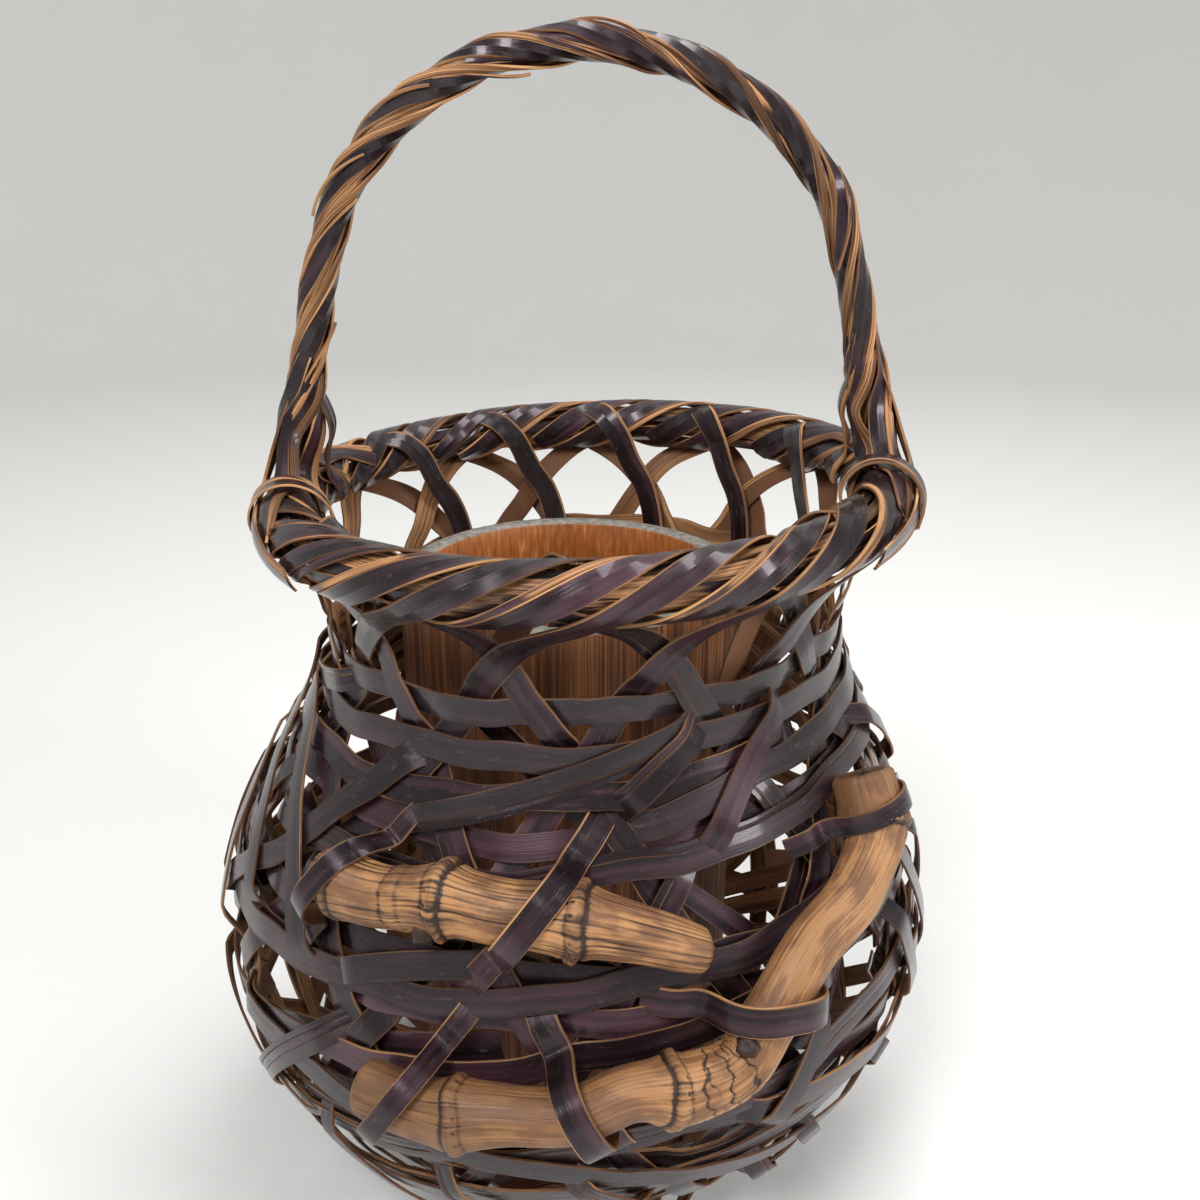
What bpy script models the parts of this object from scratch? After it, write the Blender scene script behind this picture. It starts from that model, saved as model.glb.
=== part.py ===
# Flower basket of split bamboo with a twisted hoop handle, two pieces of
# bamboo root on its front and a lacquered bamboo water tube standing inside.
# Lengths are in metres. The front of the basket faces -Y and up is +Z.
# Angles on the basket are measured about the upright axis from +X.

import math

import bmesh
import bpy
import numpy as np
from mathutils import Vector

# The split bamboo strips and how far apart crossing strips lie
STRIP_WIDTH = 0.0110
STRIP_THICKNESS = 0.0012
LAYER_STEP = 0.0021
SEAT_GAP = 0.0004
CROSSING_HALF_LENGTH = 0.0105
SHORTEST_RISE = 0.0030
LONGEST_SEGMENT = 0.0270
LONGEST_NECK_SEGMENT = 0.0130

# The woven body, the height of its base and of its rim, and its widest place
BASE_HEIGHT = 0.0105
BASE_FLAT_RADIUS = 0.0660
BASE_EDGE_RADIUS = 0.0840
BASE_EDGE_HEIGHT = 0.0120
BELLY_RADIUS = 0.1590
RIM_RADIUS = 0.1250
RIM_HEIGHT = 0.3250
# Its outline from the foot to the shoulder: shares of the belly's radius and
# of the rim's height
BODY_OUTLINE_SHARES = (
    (0.7044, 0.0985),
    (0.8931, 0.2215),
    (1.0000, 0.3692),
    (0.9560, 0.5169),
    (0.8302, 0.6554),
)
# Its neck and throat: shares of the rim's radius and of the rim's height
NECK_OUTLINE_SHARES = (
    (0.8920, 0.7877),
    (0.9040, 0.8769),
    (0.9440, 0.9292),
)
NECK_START_SHARE = 0.7631

# The rolled rim
RIM_CORE_RADIUS = 0.0086
RIM_LINE_RADIUS = 0.0116
RIM_STRIP_WIDTH = 0.0130
RIM_STARTS_PER_TURN = 6
RIM_CORE_SEGMENTS = 40
RIM_CORE_SIDES = 8
RIM_LINE_END_ANGLE = 215.0
WINDING_TURNS = 5.9
WINDING_STEP_ANGLE = 30.0

# The long strips that cross the base and rise to the rim
BASE_LINE_SPACING = 0.0200
STRIP_LEAN_ANGLE = 58.0
EVENING_CLEARANCE = 0.0012
EVENING_LENGTH = 0.0400
STAKE_PITCH_ANGLE = 30.0
ROW_PITCH_ANGLE = 15.0
STAKE_START_ANGLE = 15.0
END_BELOW_RIM = 0.0150
LINE_STEP = 0.0010

# The weavers that run round the body between the crossings
HOOP_CLEAR_OF_ROW = 0.0225
HOOP_PAIR_SPACE = 0.0610
HOOP_WAVE = 0.0012
HOOP_WAVE_SHARES = (0.9, -0.7, 0.5, -1.0, 0.8, -0.6, 1.0, -0.8, 0.7, -0.5, 0.6, -0.9)

# The outermost weavers, laid over the others. Each is a stretch of a tilted ring:
# start angle, sweep angle, mean height and swing as shares of the rim's height,
# the angle at which the ring runs highest, and its layer counted outward
OVERLAY_CLEARANCE = 0.0036
OVERLAY_LAYER = 0.0021
OVERLAY_SAG = 0.00045
OVERLAY_SAMPLES = 400
OVERLAY_PLACE_SHARES = (
    (-172.0, 340.0, 0.790, 0.012, 0.0, 0),
    (-20.0, 340.0, 0.742, 0.020, 0.0, 0),
    (-160.0, 335.0, 0.665, 0.030, 0.0, 0),
    (-10.0, 338.0, 0.548, 0.045, 0.0, 0),
    (-150.0, 342.0, 0.475, 0.080, 0.0, 0),
    (20.0, 340.0, 0.360, 0.090, 0.0, 0),
    (-165.0, 340.0, 0.270, 0.080, 0.0, 0),
    (-170.0, 52.0, 0.620, 0.400, -54.0, 1),
    (-30.0, 72.0, 0.386, 0.300, -60.0, 1),
    (-150.0, 140.0, 0.330, 0.100, 180.0, 1),
    (-84.0, 145.0, 0.700, 0.060, 0.0, 1),
    (20.0, 140.0, 0.480, 0.150, -20.0, 1),
)

# The ends of the strips that come over the rim and hang inside the neck
TAIL_LAYER = 0.0037
TAIL_START_ANGLE = 118.0
TAIL_LENGTH = 0.0480
TAIL_INWARD_SHARE = 0.10
TAIL_SWEEP = 0.0400
TAIL_PLACE_ANGLES = (62.0, 90.0, 118.0, 146.0, 34.0, 218.0, 270.0, 322.0)

# The hoop handle and how far it rises above the rim
HANDLE_RISE = 0.1765
HANDLE_CORE_RADIUS = 0.0070
HANDLE_CORE_SIDES = 8
HANDLE_CORE_STEPS = 30
HANDLE_STRIP_WIDTH = 0.0120
HANDLE_PITCH = 0.1160
HANDLE_STRIPS = 3
HANDLE_STEP_ANGLE = 36.0
HANDLE_SHIFT = 0.0072
HANDLE_SEAT_ABOVE_RIM = 0.0141
HANDLE_STRIP_INSET = 0.0060
# Points up one leg: shares of the rim's radius and of the handle's rise
HANDLE_LEG_SHARES = (
    (0.9440, 0.2550),
    (0.8800, 0.4589),
    (0.7840, 0.6799),
    (0.5880, 0.8499),
    (0.3200, 0.9603),
)

# The handle's foot strands and the bands that hold them to the rim
STRAND_WIDTH = 0.0110
STRAND_LAYER = 0.0035
STRAND_CLEARANCE = 0.0005
STRAND_SPREAD = 0.0035
STRAND_SIDE_STEP = 0.0050
BAND_WIDTH = 0.0140
BAND_LAYER = 0.0064
BAND_PLACE_ANGLE = 13.0
BAND_START_ANGLE = -28.0
BAND_END_ANGLE = 205.0

# The bamboo root pieces on the front
ROOT_RADIUS = 0.0112
ROOT_NODE_BULGE = 0.0013
ROOT_NODE_WIDTH = 0.0050
ROOT_SIDES = 10
ROOT_STEP = 0.0110
ROOT_SAMPLES = 300
ROOT_SEAT = 0.0048
# Angle and share of the rim's height of points along each root piece
ROOT_UPPER_PLACE_SHARES = (
    (-128.0, 0.6277),
    (-117.5, 0.6308),
    (-107.0, 0.6431),
    (-100.0, 0.6369),
    (-91.0, 0.6308),
    (-81.0, 0.6123),
    (-72.0, 0.5877),
)
ROOT_BENT_PLACE_SHARES = (
    (-37.0, 0.6862),
    (-38.4, 0.6277),
    (-46.2, 0.5877),
    (-57.0, 0.5600),
    (-64.3, 0.5108),
    (-68.5, 0.4708),
    (-74.6, 0.4585),
    (-82.3, 0.4615),
    (-87.6, 0.4462),
    (-98.0, 0.4431),
    (-104.0, 0.4369),
    (-115.0, 0.4400),
)
ROOT_UPPER_NODE_SHARES = (0.16, 0.36, 0.74)
ROOT_BENT_NODE_SHARES = (0.10, 0.62, 0.86)
TIE_LEAN_ANGLE = 75.0
TIE_REACH = 0.0060
TIE_CLEARANCE = 0.0056
# Share of the root piece's length at which each tie crosses it, and the tie's
# slope on the wall
TIE_UPPER_SHARES = (0.58, 55.0)
TIE_JUNCTION_SHARES = (0.40, -9.0)
TIE_LOWER_SHARES = (0.70, -60.0)
LINER_SEAT_GAP = 0.0008

# The water tube and the foot ring
LINER_RADIUS = 0.0750
LINER_WALL = 0.0090
LINER_FLOOR = 0.0100
LINER_BELOW_RIM = 0.0360
LINER_SIDES = 48
FOOT_RING_OUTER_RADIUS = 0.0790
FOOT_RING_INNER_RADIUS = 0.0690
FOOT_RING_SIDES = 48

# How the hand-made basket leans: the neck sits to the right, the rim tips
LEAN_SHIFT = 0.0075
LEAN_START_SHARE = 0.3692
LEAN_END_SHARE = 0.9846
RIM_TIP_ANGLE = 2.2

FULL_TURN = 360.0
HALF_TURN = 180.0
QUARTER_TURN = 90.0
SIXTH_TURN = 60.0
MILLIMETRES_PER_METRE = 1000

# Sizes that follow from those above
BODY_OUTLINE = tuple(
    (across * BELLY_RADIUS, upward * RIM_HEIGHT) for across, upward in BODY_OUTLINE_SHARES
)
NECK_OUTLINE = tuple(
    (across * RIM_RADIUS, upward * RIM_HEIGHT) for across, upward in NECK_OUTLINE_SHARES
)
THROAT_RADIUS, THROAT_HEIGHT = NECK_OUTLINE[-1]
HANDLE_LEG = tuple(
    (across * RIM_RADIUS, RIM_HEIGHT + upward * HANDLE_RISE)
    for across, upward in HANDLE_LEG_SHARES
)
HANDLE_LOW_HALF_WIDTH, HANDLE_LOW_HEIGHT = HANDLE_LEG[0]
HANDLE_TOP_HEIGHT = RIM_HEIGHT + HANDLE_RISE


def clear_scene():
    """Remove what the new file opens with."""
    for thing in list(bpy.data.objects):
        bpy.data.objects.remove(thing)


def smooth_share(value):
    """Ease from zero to one."""
    share = np.clip(value, 0, 1)
    return share * share * (3 - 2 * share)


def rounded_curve(points, count):
    """A smooth curve through the points, evenly sampled between them."""
    points = np.array(points, float)
    steps = np.linalg.norm(np.diff(points, axis=0), axis=1)
    places = np.concatenate(([0], np.cumsum(steps)))
    slopes = np.gradient(points, places, axis=0)
    samples = np.linspace(0, places[-1], count)
    curve = []
    for sample in samples:
        index = min(np.searchsorted(places, sample, side="right") - 1, len(steps) - 1)
        length = steps[index]
        share = (sample - places[index]) / length
        square = share * share
        cube = square * share
        curve.append(
            (2 * cube - 3 * square + 1) * points[index]
            + (cube - 2 * square + share) * length * slopes[index]
            + (3 * square - 2 * cube) * points[index + 1]
            + (cube - square) * length * slopes[index + 1]
        )
    return np.array(curve)


def rim_tangent_angle(middle_radius):
    """Where round the rim core the rising strips first touch it."""
    across = RIM_RADIUS - THROAT_RADIUS
    upward = RIM_HEIGHT - THROAT_HEIGHT
    distance = math.hypot(across, upward)
    opening = math.asin(middle_radius / distance)
    return math.atan2(upward, across) - opening - math.radians(QUARTER_TURN)


def body_section():
    """The weave's middle surface as radius and height, from centre to rim."""
    middle_radius = RIM_LINE_RADIUS - LAYER_STEP / 2
    start = rim_tangent_angle(middle_radius)
    touch = (
        RIM_RADIUS + middle_radius * math.cos(start),
        RIM_HEIGHT + middle_radius * math.sin(start),
    )
    base = (
        (0, BASE_HEIGHT),
        (BASE_FLAT_RADIUS, BASE_HEIGHT),
        (BASE_EDGE_RADIUS, BASE_EDGE_HEIGHT),
    )
    corners = base + BODY_OUTLINE + NECK_OUTLINE + (touch,)
    wall = rounded_curve(corners, 600)
    wall[:, 1] = np.maximum(wall[:, 1], BASE_HEIGHT)
    angles = np.radians(np.arange(math.degrees(start), RIM_LINE_END_ANGLE, 1))[1:]
    roll = np.stack(
        (
            RIM_RADIUS + middle_radius * np.cos(angles),
            RIM_HEIGHT + middle_radius * np.sin(angles),
        ),
        axis=1,
    )
    return np.concatenate((wall, roll)), len(wall)


SECTION, WALL_COUNT = body_section()
SECTION_PLACES = np.concatenate(
    ([0], np.cumsum(np.linalg.norm(np.diff(SECTION, axis=0), axis=1)))
)
SECTION_SLOPES = np.gradient(SECTION, SECTION_PLACES, axis=0)
RIM_TOUCH_PLACE = SECTION_PLACES[WALL_COUNT - 1]
THROAT_PLACE = RIM_TOUCH_PLACE - math.hypot(
    RIM_RADIUS - THROAT_RADIUS, RIM_HEIGHT - THROAT_HEIGHT
)
SECTION_END = SECTION_PLACES[-1]


def section_at(place):
    """Radius, height and outward direction at a distance up the section."""
    radius = np.interp(place, SECTION_PLACES, SECTION[:, 0])
    height = np.interp(place, SECTION_PLACES, SECTION[:, 1])
    across = np.interp(place, SECTION_PLACES, SECTION_SLOPES[:, 0])
    upward = np.interp(place, SECTION_PLACES, SECTION_SLOPES[:, 1])
    length = np.hypot(across, upward)
    return radius, height, upward / length, -across / length


def place_at_height(height):
    """Distance up the section at which the wall reaches a height."""
    return float(np.interp(height, SECTION[:WALL_COUNT, 1], SECTION_PLACES[:WALL_COUNT]))


def on_body(angles, places):
    """Points of the middle surface and their outward directions."""
    angles = np.radians(np.atleast_1d(angles).astype(float))
    radius, height, out_flat, out_up = section_at(np.atleast_1d(places))
    points = np.stack(
        (radius * np.cos(angles), radius * np.sin(angles), height + 0 * angles), axis=1
    )
    outward = np.stack(
        (out_flat * np.cos(angles), out_flat * np.sin(angles), out_up + 0 * angles), axis=1
    )
    return points, outward


def on_rim(angles, roll_angles, distance):
    """Points round the rim core at a distance from its middle."""
    angles = np.radians(np.atleast_1d(angles).astype(float))
    roll = np.radians(roll_angles) + 0 * angles
    outward = np.stack(
        (np.cos(roll) * np.cos(angles), np.cos(roll) * np.sin(angles), np.sin(roll)), axis=1
    )
    middle = np.stack(
        (
            RIM_RADIUS * np.cos(angles),
            RIM_RADIUS * np.sin(angles),
            RIM_HEIGHT + 0 * angles,
        ),
        axis=1,
    )
    return middle + outward * np.reshape(distance, (-1, 1)), outward


def leaned(points):
    """The same points after the hand-made lean of the neck and rim."""
    points = np.array(points, float)
    rise = points[:, 2] / RIM_HEIGHT - LEAN_START_SHARE
    share = smooth_share(rise / (LEAN_END_SHARE - LEAN_START_SHARE))
    tip = math.tan(math.radians(RIM_TIP_ANGLE))
    across = points[:, 0].copy()
    points[:, 0] = across + LEAN_SHIFT * share
    points[:, 2] = points[:, 2] + across * tip * share
    return points


def new_object(name, material, mesh_maker):
    """One named object from a function that fills a bmesh."""
    mesh = bpy.data.meshes.new(name)
    shape = bmesh.new()
    mesh_maker(shape)
    bmesh.ops.recalc_face_normals(shape, faces=shape.faces)
    shape.to_mesh(mesh)
    shape.free()
    mesh.materials.append(material)
    thing = bpy.data.objects.new(name, mesh)
    bpy.context.collection.objects.link(thing)
    return thing


def sweep_sections(shape, rings, closed, splits=None):
    """Join rings of points into a tube, capped unless it closes on itself.

    Where splits are given, each side between two rings is two triangles, and
    a split says whether they part along the line that starts on the low edge.
    """
    made = [[shape.verts.new(point) for point in ring] for ring in rings]
    count = len(made)
    last = count if closed else count - 1
    for index in range(last):
        ring = made[index]
        following = made[(index + 1) % count]
        for side in range(len(ring)):
            other = (side + 1) % len(ring)
            corners = (ring[side], ring[other], following[other], following[side])
            if splits is None:
                shape.faces.new(corners)
                continue
            if splits[index] == (side < 2):
                first, second = (0, 1, 2), (0, 2, 3)
            else:
                first, second = (1, 2, 3), (1, 3, 0)
            shape.faces.new([corners[corner] for corner in first])
            shape.faces.new([corners[corner] for corner in second])
    if not closed:
        shape.faces.new(made[0])
        shape.faces.new(list(reversed(made[-1])))


def lengths_along(points):
    """Distance travelled at each point."""
    steps = np.linalg.norm(np.diff(points, axis=0), axis=1)
    return np.concatenate(([0], np.cumsum(steps)))


def picked(places, lengths, values):
    """Values at given distances along a line."""
    return np.stack([np.interp(places, lengths, values[:, k]) for k in range(3)], axis=1)


def unit(vectors):
    """The same directions with length one."""
    return vectors / np.linalg.norm(vectors, axis=1)[:, None]


def directions_along(points, closed):
    """Unit directions of travel at each point."""
    if closed:
        steps = np.roll(points, -1, axis=0) - np.roll(points, 1, axis=0)
    else:
        steps = np.gradient(points, axis=0)
    return steps / np.linalg.norm(steps, axis=1)[:, None]


def strip_splits(rings, facing, wound):
    """Which way to part each stretch of a strip into triangles.

    A strip wound on a thin rod bulges outward between its points. Any other
    strip parts along the shorter line.
    """
    following = np.roll(rings, -1, axis=0)
    if not wound:
        from_low = np.linalg.norm(following[:, 1] - rings[:, 0], axis=1)
        from_high = np.linalg.norm(following[:, 0] - rings[:, 1], axis=1)
        return from_low <= from_high
    across = rings[:, 0] + following[:, 1] - rings[:, 1] - following[:, 0]
    return np.sum(across * (facing + np.roll(facing, -1, axis=0)), axis=1) > 0


def least_gap_to_itself(rings, lengths, apart):
    """Least distance between points of a strip that lie some length apart on it."""
    halfway = (rings[:-1] + rings[1:]) / 2
    dense = np.concatenate((rings, halfway))
    places = np.concatenate((lengths, (lengths[:-1] + lengths[1:]) / 2))
    far = np.abs(places[:, None] - places[None, :]) > apart
    first, second = np.nonzero(far)
    spans = dense[first][:, :, None, :] - dense[second][:, None, :, :]
    return float(np.linalg.norm(spans, axis=3).min())


def make_strip(
    name, material, points, outward, width, closed=False, wound=False, winding_length=0
):
    """A flat strip laid along points with its broad face outward."""
    along = directions_along(points, closed)
    across = np.cross(outward, along)
    across = across / np.linalg.norm(across, axis=1)[:, None]
    facing = np.cross(along, across)
    half_width = across * width / 2
    half_depth = facing * STRIP_THICKNESS / 2
    corners = (
        points - half_width - half_depth,
        points + half_width - half_depth,
        points + half_width + half_depth,
        points - half_width + half_depth,
    )
    rings = np.stack(corners, axis=1)
    splits = strip_splits(rings, facing, wound)
    if winding_length:
        gap = least_gap_to_itself(rings, lengths_along(points), winding_length / 2)
        print(name, "least gap to itself in mm", round(gap * MILLIMETRES_PER_METRE, 2))

    def fill(shape):
        sweep_sections(shape, rings, closed, splits)

    return new_object(name, material, fill)


def make_rod(name, material, points, side_direction, radii, sides, closed=False):
    """A round rod along points, its radius given at each point."""
    along = directions_along(points, closed)
    first = np.cross(along, side_direction)
    first = first / np.linalg.norm(first, axis=1)[:, None]
    second = np.cross(along, first)
    turns = np.arange(sides) * 2 * math.pi / sides
    rings = []
    for index, point in enumerate(points):
        ring = [
            point + radii[index] * (math.cos(turn) * first[index] + math.sin(turn) * second[index])
            for turn in turns
        ]
        rings.append(ring)

    def fill(shape):
        sweep_sections(shape, rings, closed)

    thing = new_object(name, material, fill)
    thing.data.polygons.foreach_set("use_smooth", [True] * len(thing.data.polygons))
    return thing


def first_row_radius():
    """Distance from the middle of the base's outermost crossings.

    Three sets of lines at one and three spacings from the middle cross there.
    """
    return BASE_LINE_SPACING * math.sqrt(52 / 3)


def lean_angle_table():
    """How far round a rising strip has turned at each place up the section."""
    places = np.arange(0, SECTION_END, LINE_STEP)
    radius = section_at(places)[0]
    rate = 1 / (np.maximum(radius, BASE_FLAT_RADIUS) * math.tan(math.radians(STRIP_LEAN_ANGLE)))
    middle_radius = RIM_LINE_RADIUS - LAYER_STEP / 2
    rim_rate = 1 / (RIM_STARTS_PER_TURN * middle_radius)
    share = smooth_share((places - THROAT_PLACE) / (RIM_TOUCH_PLACE - THROAT_PLACE))
    rate = rate + (rim_rate - rate) * share
    turned = np.degrees(np.cumsum(rate) * LINE_STEP)
    return places, turned - np.interp(first_row_radius(), places, turned)


TURN_PLACES, TURN_ANGLES = lean_angle_table()
EVENING_START = first_row_radius() + EVENING_CLEARANCE


def turned_at(place):
    """Angle a rising strip has turned through since the base's edge."""
    return np.interp(place, TURN_PLACES, TURN_ANGLES)


def stake_angles(line_angle, line_offset, sense, places):
    """Angles of one end of a base strip as it rises, sense being its lean."""
    straight = line_angle + sense * np.degrees(np.arccos(line_offset / places))
    edge = line_angle + sense * math.degrees(math.acos(line_offset / BASE_EDGE_RADIUS))
    slot = round((edge - STAKE_START_ANGLE) / STAKE_PITCH_ANGLE)
    even = STAKE_START_ANGLE + slot * STAKE_PITCH_ANGLE + sense * turned_at(places)
    share = smooth_share((places - EVENING_START) / EVENING_LENGTH)
    return straight + (even - straight) * share


def wall_places(end):
    """Evenly spaced distances up the wall from the base strips' end."""
    count = int((end - EVENING_START) / LINE_STEP)
    return np.linspace(EVENING_START, end, count)


def base_strips():
    """Line angle and offset of each strip through the base."""
    strips = []
    for turn in range(6):
        for step in (1, 3):
            strips.append((turn * SIXTH_TURN, step * BASE_LINE_SPACING))
    return strips


def rising_lines():
    """The rising part of both ends of every base strip."""
    right_end = SECTION_END
    left_end = RIM_TOUCH_PLACE - END_BELOW_RIM
    lines = []
    for line_angle, line_offset in base_strips():
        right_places = wall_places(right_end)
        left_places = wall_places(left_end)
        lines.append(
            (
                (stake_angles(line_angle, line_offset, 1, right_places), right_places),
                (stake_angles(line_angle, line_offset, -1, left_places), left_places),
            )
        )
    return lines


def angle_gap(angles):
    """The same angles brought to within half a turn of zero."""
    return (angles + HALF_TURN) % FULL_TURN - HALF_TURN


def hoop_places():
    """Mean distance up the section and wave of each weaver hoop."""
    rows = []
    count = int(turned_at(THROAT_PLACE) / ROW_PITCH_ANGLE) + 1
    for row in range(count):
        rows.append(float(np.interp(row * ROW_PITCH_ANGLE, TURN_ANGLES, TURN_PLACES)))
    places = []
    for low, high in zip(rows, rows[1:]):
        if high - low > HOOP_PAIR_SPACE:
            places.append(low + HOOP_CLEAR_OF_ROW)
            places.append(high - HOOP_CLEAR_OF_ROW)
        else:
            places.append((low + high) / 2)
    return places


def hoop_line(index, mean_place, angles):
    """Distance up the section of a hoop at the given angles."""
    wave = HOOP_WAVE * HOOP_WAVE_SHARES[index % len(HOOP_WAVE_SHARES)]
    turns = 1 + index % 3
    return mean_place + wave * np.sin(np.radians(turns * angles + index * SIXTH_TURN))


def crossings_of_lines(lines, hoops):
    """Where every strip passes over or under another one.

    Strips leaning right pass over strips leaning left, those pass over the
    hoops, and the hoops pass over the strips leaning right.
    """
    right_hits = [[] for _ in lines]
    left_hits = [[] for _ in lines]
    hoop_hits = [[] for _ in hoops]
    for right_index, (right, _) in enumerate(lines):
        for left_index, (_, left) in enumerate(lines):
            right_angles = np.interp(left[1], right[1], right[0])
            gap = angle_gap(right_angles - left[0])
            swap = np.where((gap[:-1] * gap[1:] <= 0) & (abs(gap[:-1]) < STAKE_PITCH_ANGLE))[0]
            for hit in swap:
                right_hits[right_index].append((left[1][hit], 1))
                left_hits[left_index].append((left[1][hit], -1))
    for hoop_index, mean_place in enumerate(hoops):
        for side, hits, sign in ((0, right_hits, -1), (1, left_hits, 1)):
            for index, line in enumerate(lines):
                angles, places = line[side]
                gap = hoop_line(hoop_index, mean_place, angles) - places
                swap = np.where(gap[:-1] * gap[1:] <= 0)[0]
                for hit in swap:
                    hits[index].append((places[hit], sign))
                    hoop_hits[hoop_index].append((angles[hit] % FULL_TURN, -sign))
    return right_hits, left_hits, hoop_hits


def base_crossings(strips):
    """Crossings of the straight parts: distance along each line and side."""
    hits = [[] for _ in strips]
    for index, (angle, offset) in enumerate(strips):
        normal = (math.cos(math.radians(angle)), math.sin(math.radians(angle)))
        for other_angle, other_offset in strips:
            turn = round((other_angle - angle) % HALF_TURN / SIXTH_TURN)
            if turn == 0:
                continue
            difference = math.radians(other_angle - angle)
            along = (other_offset - offset * math.cos(difference)) / math.sin(difference)
            if math.hypot(offset, along) < EVENING_START:
                hits[index].append((along, 1 if turn == 2 else -1))
    return hits


def laid_points(points, outward, hits, closed, fine_before=0, fine_after=None):
    """Choose the points of a strip so it lies flat across each crossing.

    hits are distances along the strip with the side it keeps to there. Before
    and after the two fine places the points lie closer, for the curved neck.
    """
    steps = np.linalg.norm(np.diff(points, axis=0), axis=1)
    lengths = np.concatenate(([0], np.cumsum(steps)))
    total = lengths[-1]
    hits = sorted(hits)
    if closed:
        first = hits[0]
        hits = hits + [(first[0] + total, first[1])]
    marks = []
    if not closed:
        marks.append((0, hits[0][1]))
    for (place, side), (next_place, next_side) in zip(hits, hits[1:]):
        if side == next_side:
            marks.append(((place + next_place) / 2, side))
            continue
        middle = (place + next_place) / 2
        half_rise = max(SHORTEST_RISE / 2, (next_place - place) / 2 - CROSSING_HALF_LENGTH)
        marks.append((middle - half_rise, side))
        marks.append((middle + half_rise, next_side))
    if not closed:
        marks.append((total, hits[-1][1]))
    places = []
    sides = []
    pairs = list(zip(marks, marks[1:] + ([(marks[0][0] + total, marks[0][1])] if closed else [])))
    for (place, side), (next_place, next_side) in pairs:
        middle = (place + next_place) / 2
        fine = middle < fine_before or (fine_after is not None and middle > fine_after)
        longest = LONGEST_NECK_SEGMENT if fine else LONGEST_SEGMENT
        count = max(1, math.ceil((next_place - place) / longest))
        for step in range(count):
            share = step / count
            places.append(place + (next_place - place) * share)
            sides.append(side + (next_side - side) * share)
    if not closed:
        places.append(marks[-1][0])
        sides.append(marks[-1][1])
    places = np.array(places) % total if closed else np.array(places)
    chosen = picked(places, lengths, points)
    facing = unit(picked(places, lengths, outward))
    return chosen + facing * np.array(sides)[:, None] * LAYER_STEP / 2, facing


def make_stake(number, strip, line, right_hits, left_hits, flat_hits, material):
    """One long strip: down from the rim, across the base and up again."""
    angle, offset = strip
    (right_angles, right_places), (left_angles, left_places) = line
    right_points, right_out = on_body(right_angles, right_places)
    left_points, left_out = on_body(left_angles, left_places)
    reach = math.sqrt(EVENING_START**2 - offset**2)
    along = np.arange(-reach, reach, LINE_STEP)[1:]
    turn = math.radians(angle)
    flat = np.stack(
        (
            offset * math.cos(turn) - along * math.sin(turn),
            offset * math.sin(turn) + along * math.cos(turn),
        ),
        axis=1,
    )
    radius = np.hypot(flat[:, 0], flat[:, 1])
    flat_points, flat_out = on_body(np.degrees(np.arctan2(flat[:, 1], flat[:, 0])), radius)
    points = np.concatenate((left_points[::-1], flat_points, right_points))
    outward = np.concatenate((left_out[::-1], flat_out, right_out))
    lengths = lengths_along(points)
    left_count = len(left_places)
    flat_count = len(along)
    hits = []
    for place, side in left_hits:
        hits.append((np.interp(place, left_places, lengths[:left_count][::-1]), side))
    for place, side in flat_hits:
        hits.append((np.interp(place, along, lengths[left_count : left_count + flat_count]), side))
    for place, side in right_hits:
        hits.append((np.interp(place, right_places, lengths[left_count + flat_count :]), side))
    hits.append((lengths[-1] - LONGEST_SEGMENT, 1))
    neck = place_at_height(NECK_START_SHARE * RIM_HEIGHT)
    fine_before = np.interp(neck, left_places, lengths[:left_count][::-1])
    fine_after = np.interp(neck, right_places, lengths[left_count + flat_count :])
    chosen, facing = laid_points(points, outward, hits, False, fine_before, fine_after)
    return make_strip(f"stake_{number:02d}", material, leaned(chosen), facing, STRIP_WIDTH)


def make_hoop(number, mean_place, hits, material):
    """One weaver running right round the body."""
    angles = np.arange(0, FULL_TURN + 0.5, 0.5)
    points, outward = on_body(angles, hoop_line(number - 1, mean_place, angles))
    lengths = lengths_along(points)
    placed = [(float(np.interp(angle, angles, lengths)), side) for angle, side in hits]
    neck = place_at_height(NECK_START_SHARE * RIM_HEIGHT)
    fine_after = 0 if mean_place > neck else None
    chosen, facing = laid_points(points, outward, placed, True, fine_after=fine_after)
    return make_strip(
        f"weaver_{number:02d}", material, leaned(chosen), facing, STRIP_WIDTH, closed=True
    )


def make_overlay(number, material):
    """A long strip laid over the outside of the weave along a tilted ring."""
    start_angle, sweep, mean_share, swing_share, high_angle, layer = (
        OVERLAY_PLACE_SHARES[number - 1]
    )
    angles = start_angle + sweep * np.linspace(0, 1, OVERLAY_SAMPLES + 1)
    share = mean_share + swing_share * np.cos(np.radians(angles - high_angle))
    places = np.interp(
        share * RIM_HEIGHT, SECTION[:WALL_COUNT, 1], SECTION_PLACES[:WALL_COUNT]
    )
    points, outward = on_body(angles, places)
    points = points + outward * (OVERLAY_CLEARANCE + layer * OVERLAY_LAYER)
    lengths = lengths_along(points)
    radius = float(section_at(place_at_height(mean_share * RIM_HEIGHT))[0])
    longest = math.sqrt(8 * radius * OVERLAY_SAG)
    chosen = np.linspace(0, lengths[-1], math.ceil(lengths[-1] / longest) + 1)
    return make_strip(
        f"overlay_{number:02d}",
        material,
        leaned(picked(chosen, lengths, points)),
        unit(picked(chosen, lengths, outward)),
        STRIP_WIDTH,
    )


def make_rim_core(material):
    """The bundle inside the rolled rim."""
    angles = np.arange(RIM_CORE_SEGMENTS) * FULL_TURN / RIM_CORE_SEGMENTS
    points, _ = on_rim(angles, QUARTER_TURN, 0)
    upright = np.array([[0, 0, 1.0]] * len(points))
    radii = [RIM_CORE_RADIUS] * len(points)
    return make_rod(
        "rim_core", material, leaned(points), upright, radii, RIM_CORE_SIDES, closed=True
    )


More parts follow.
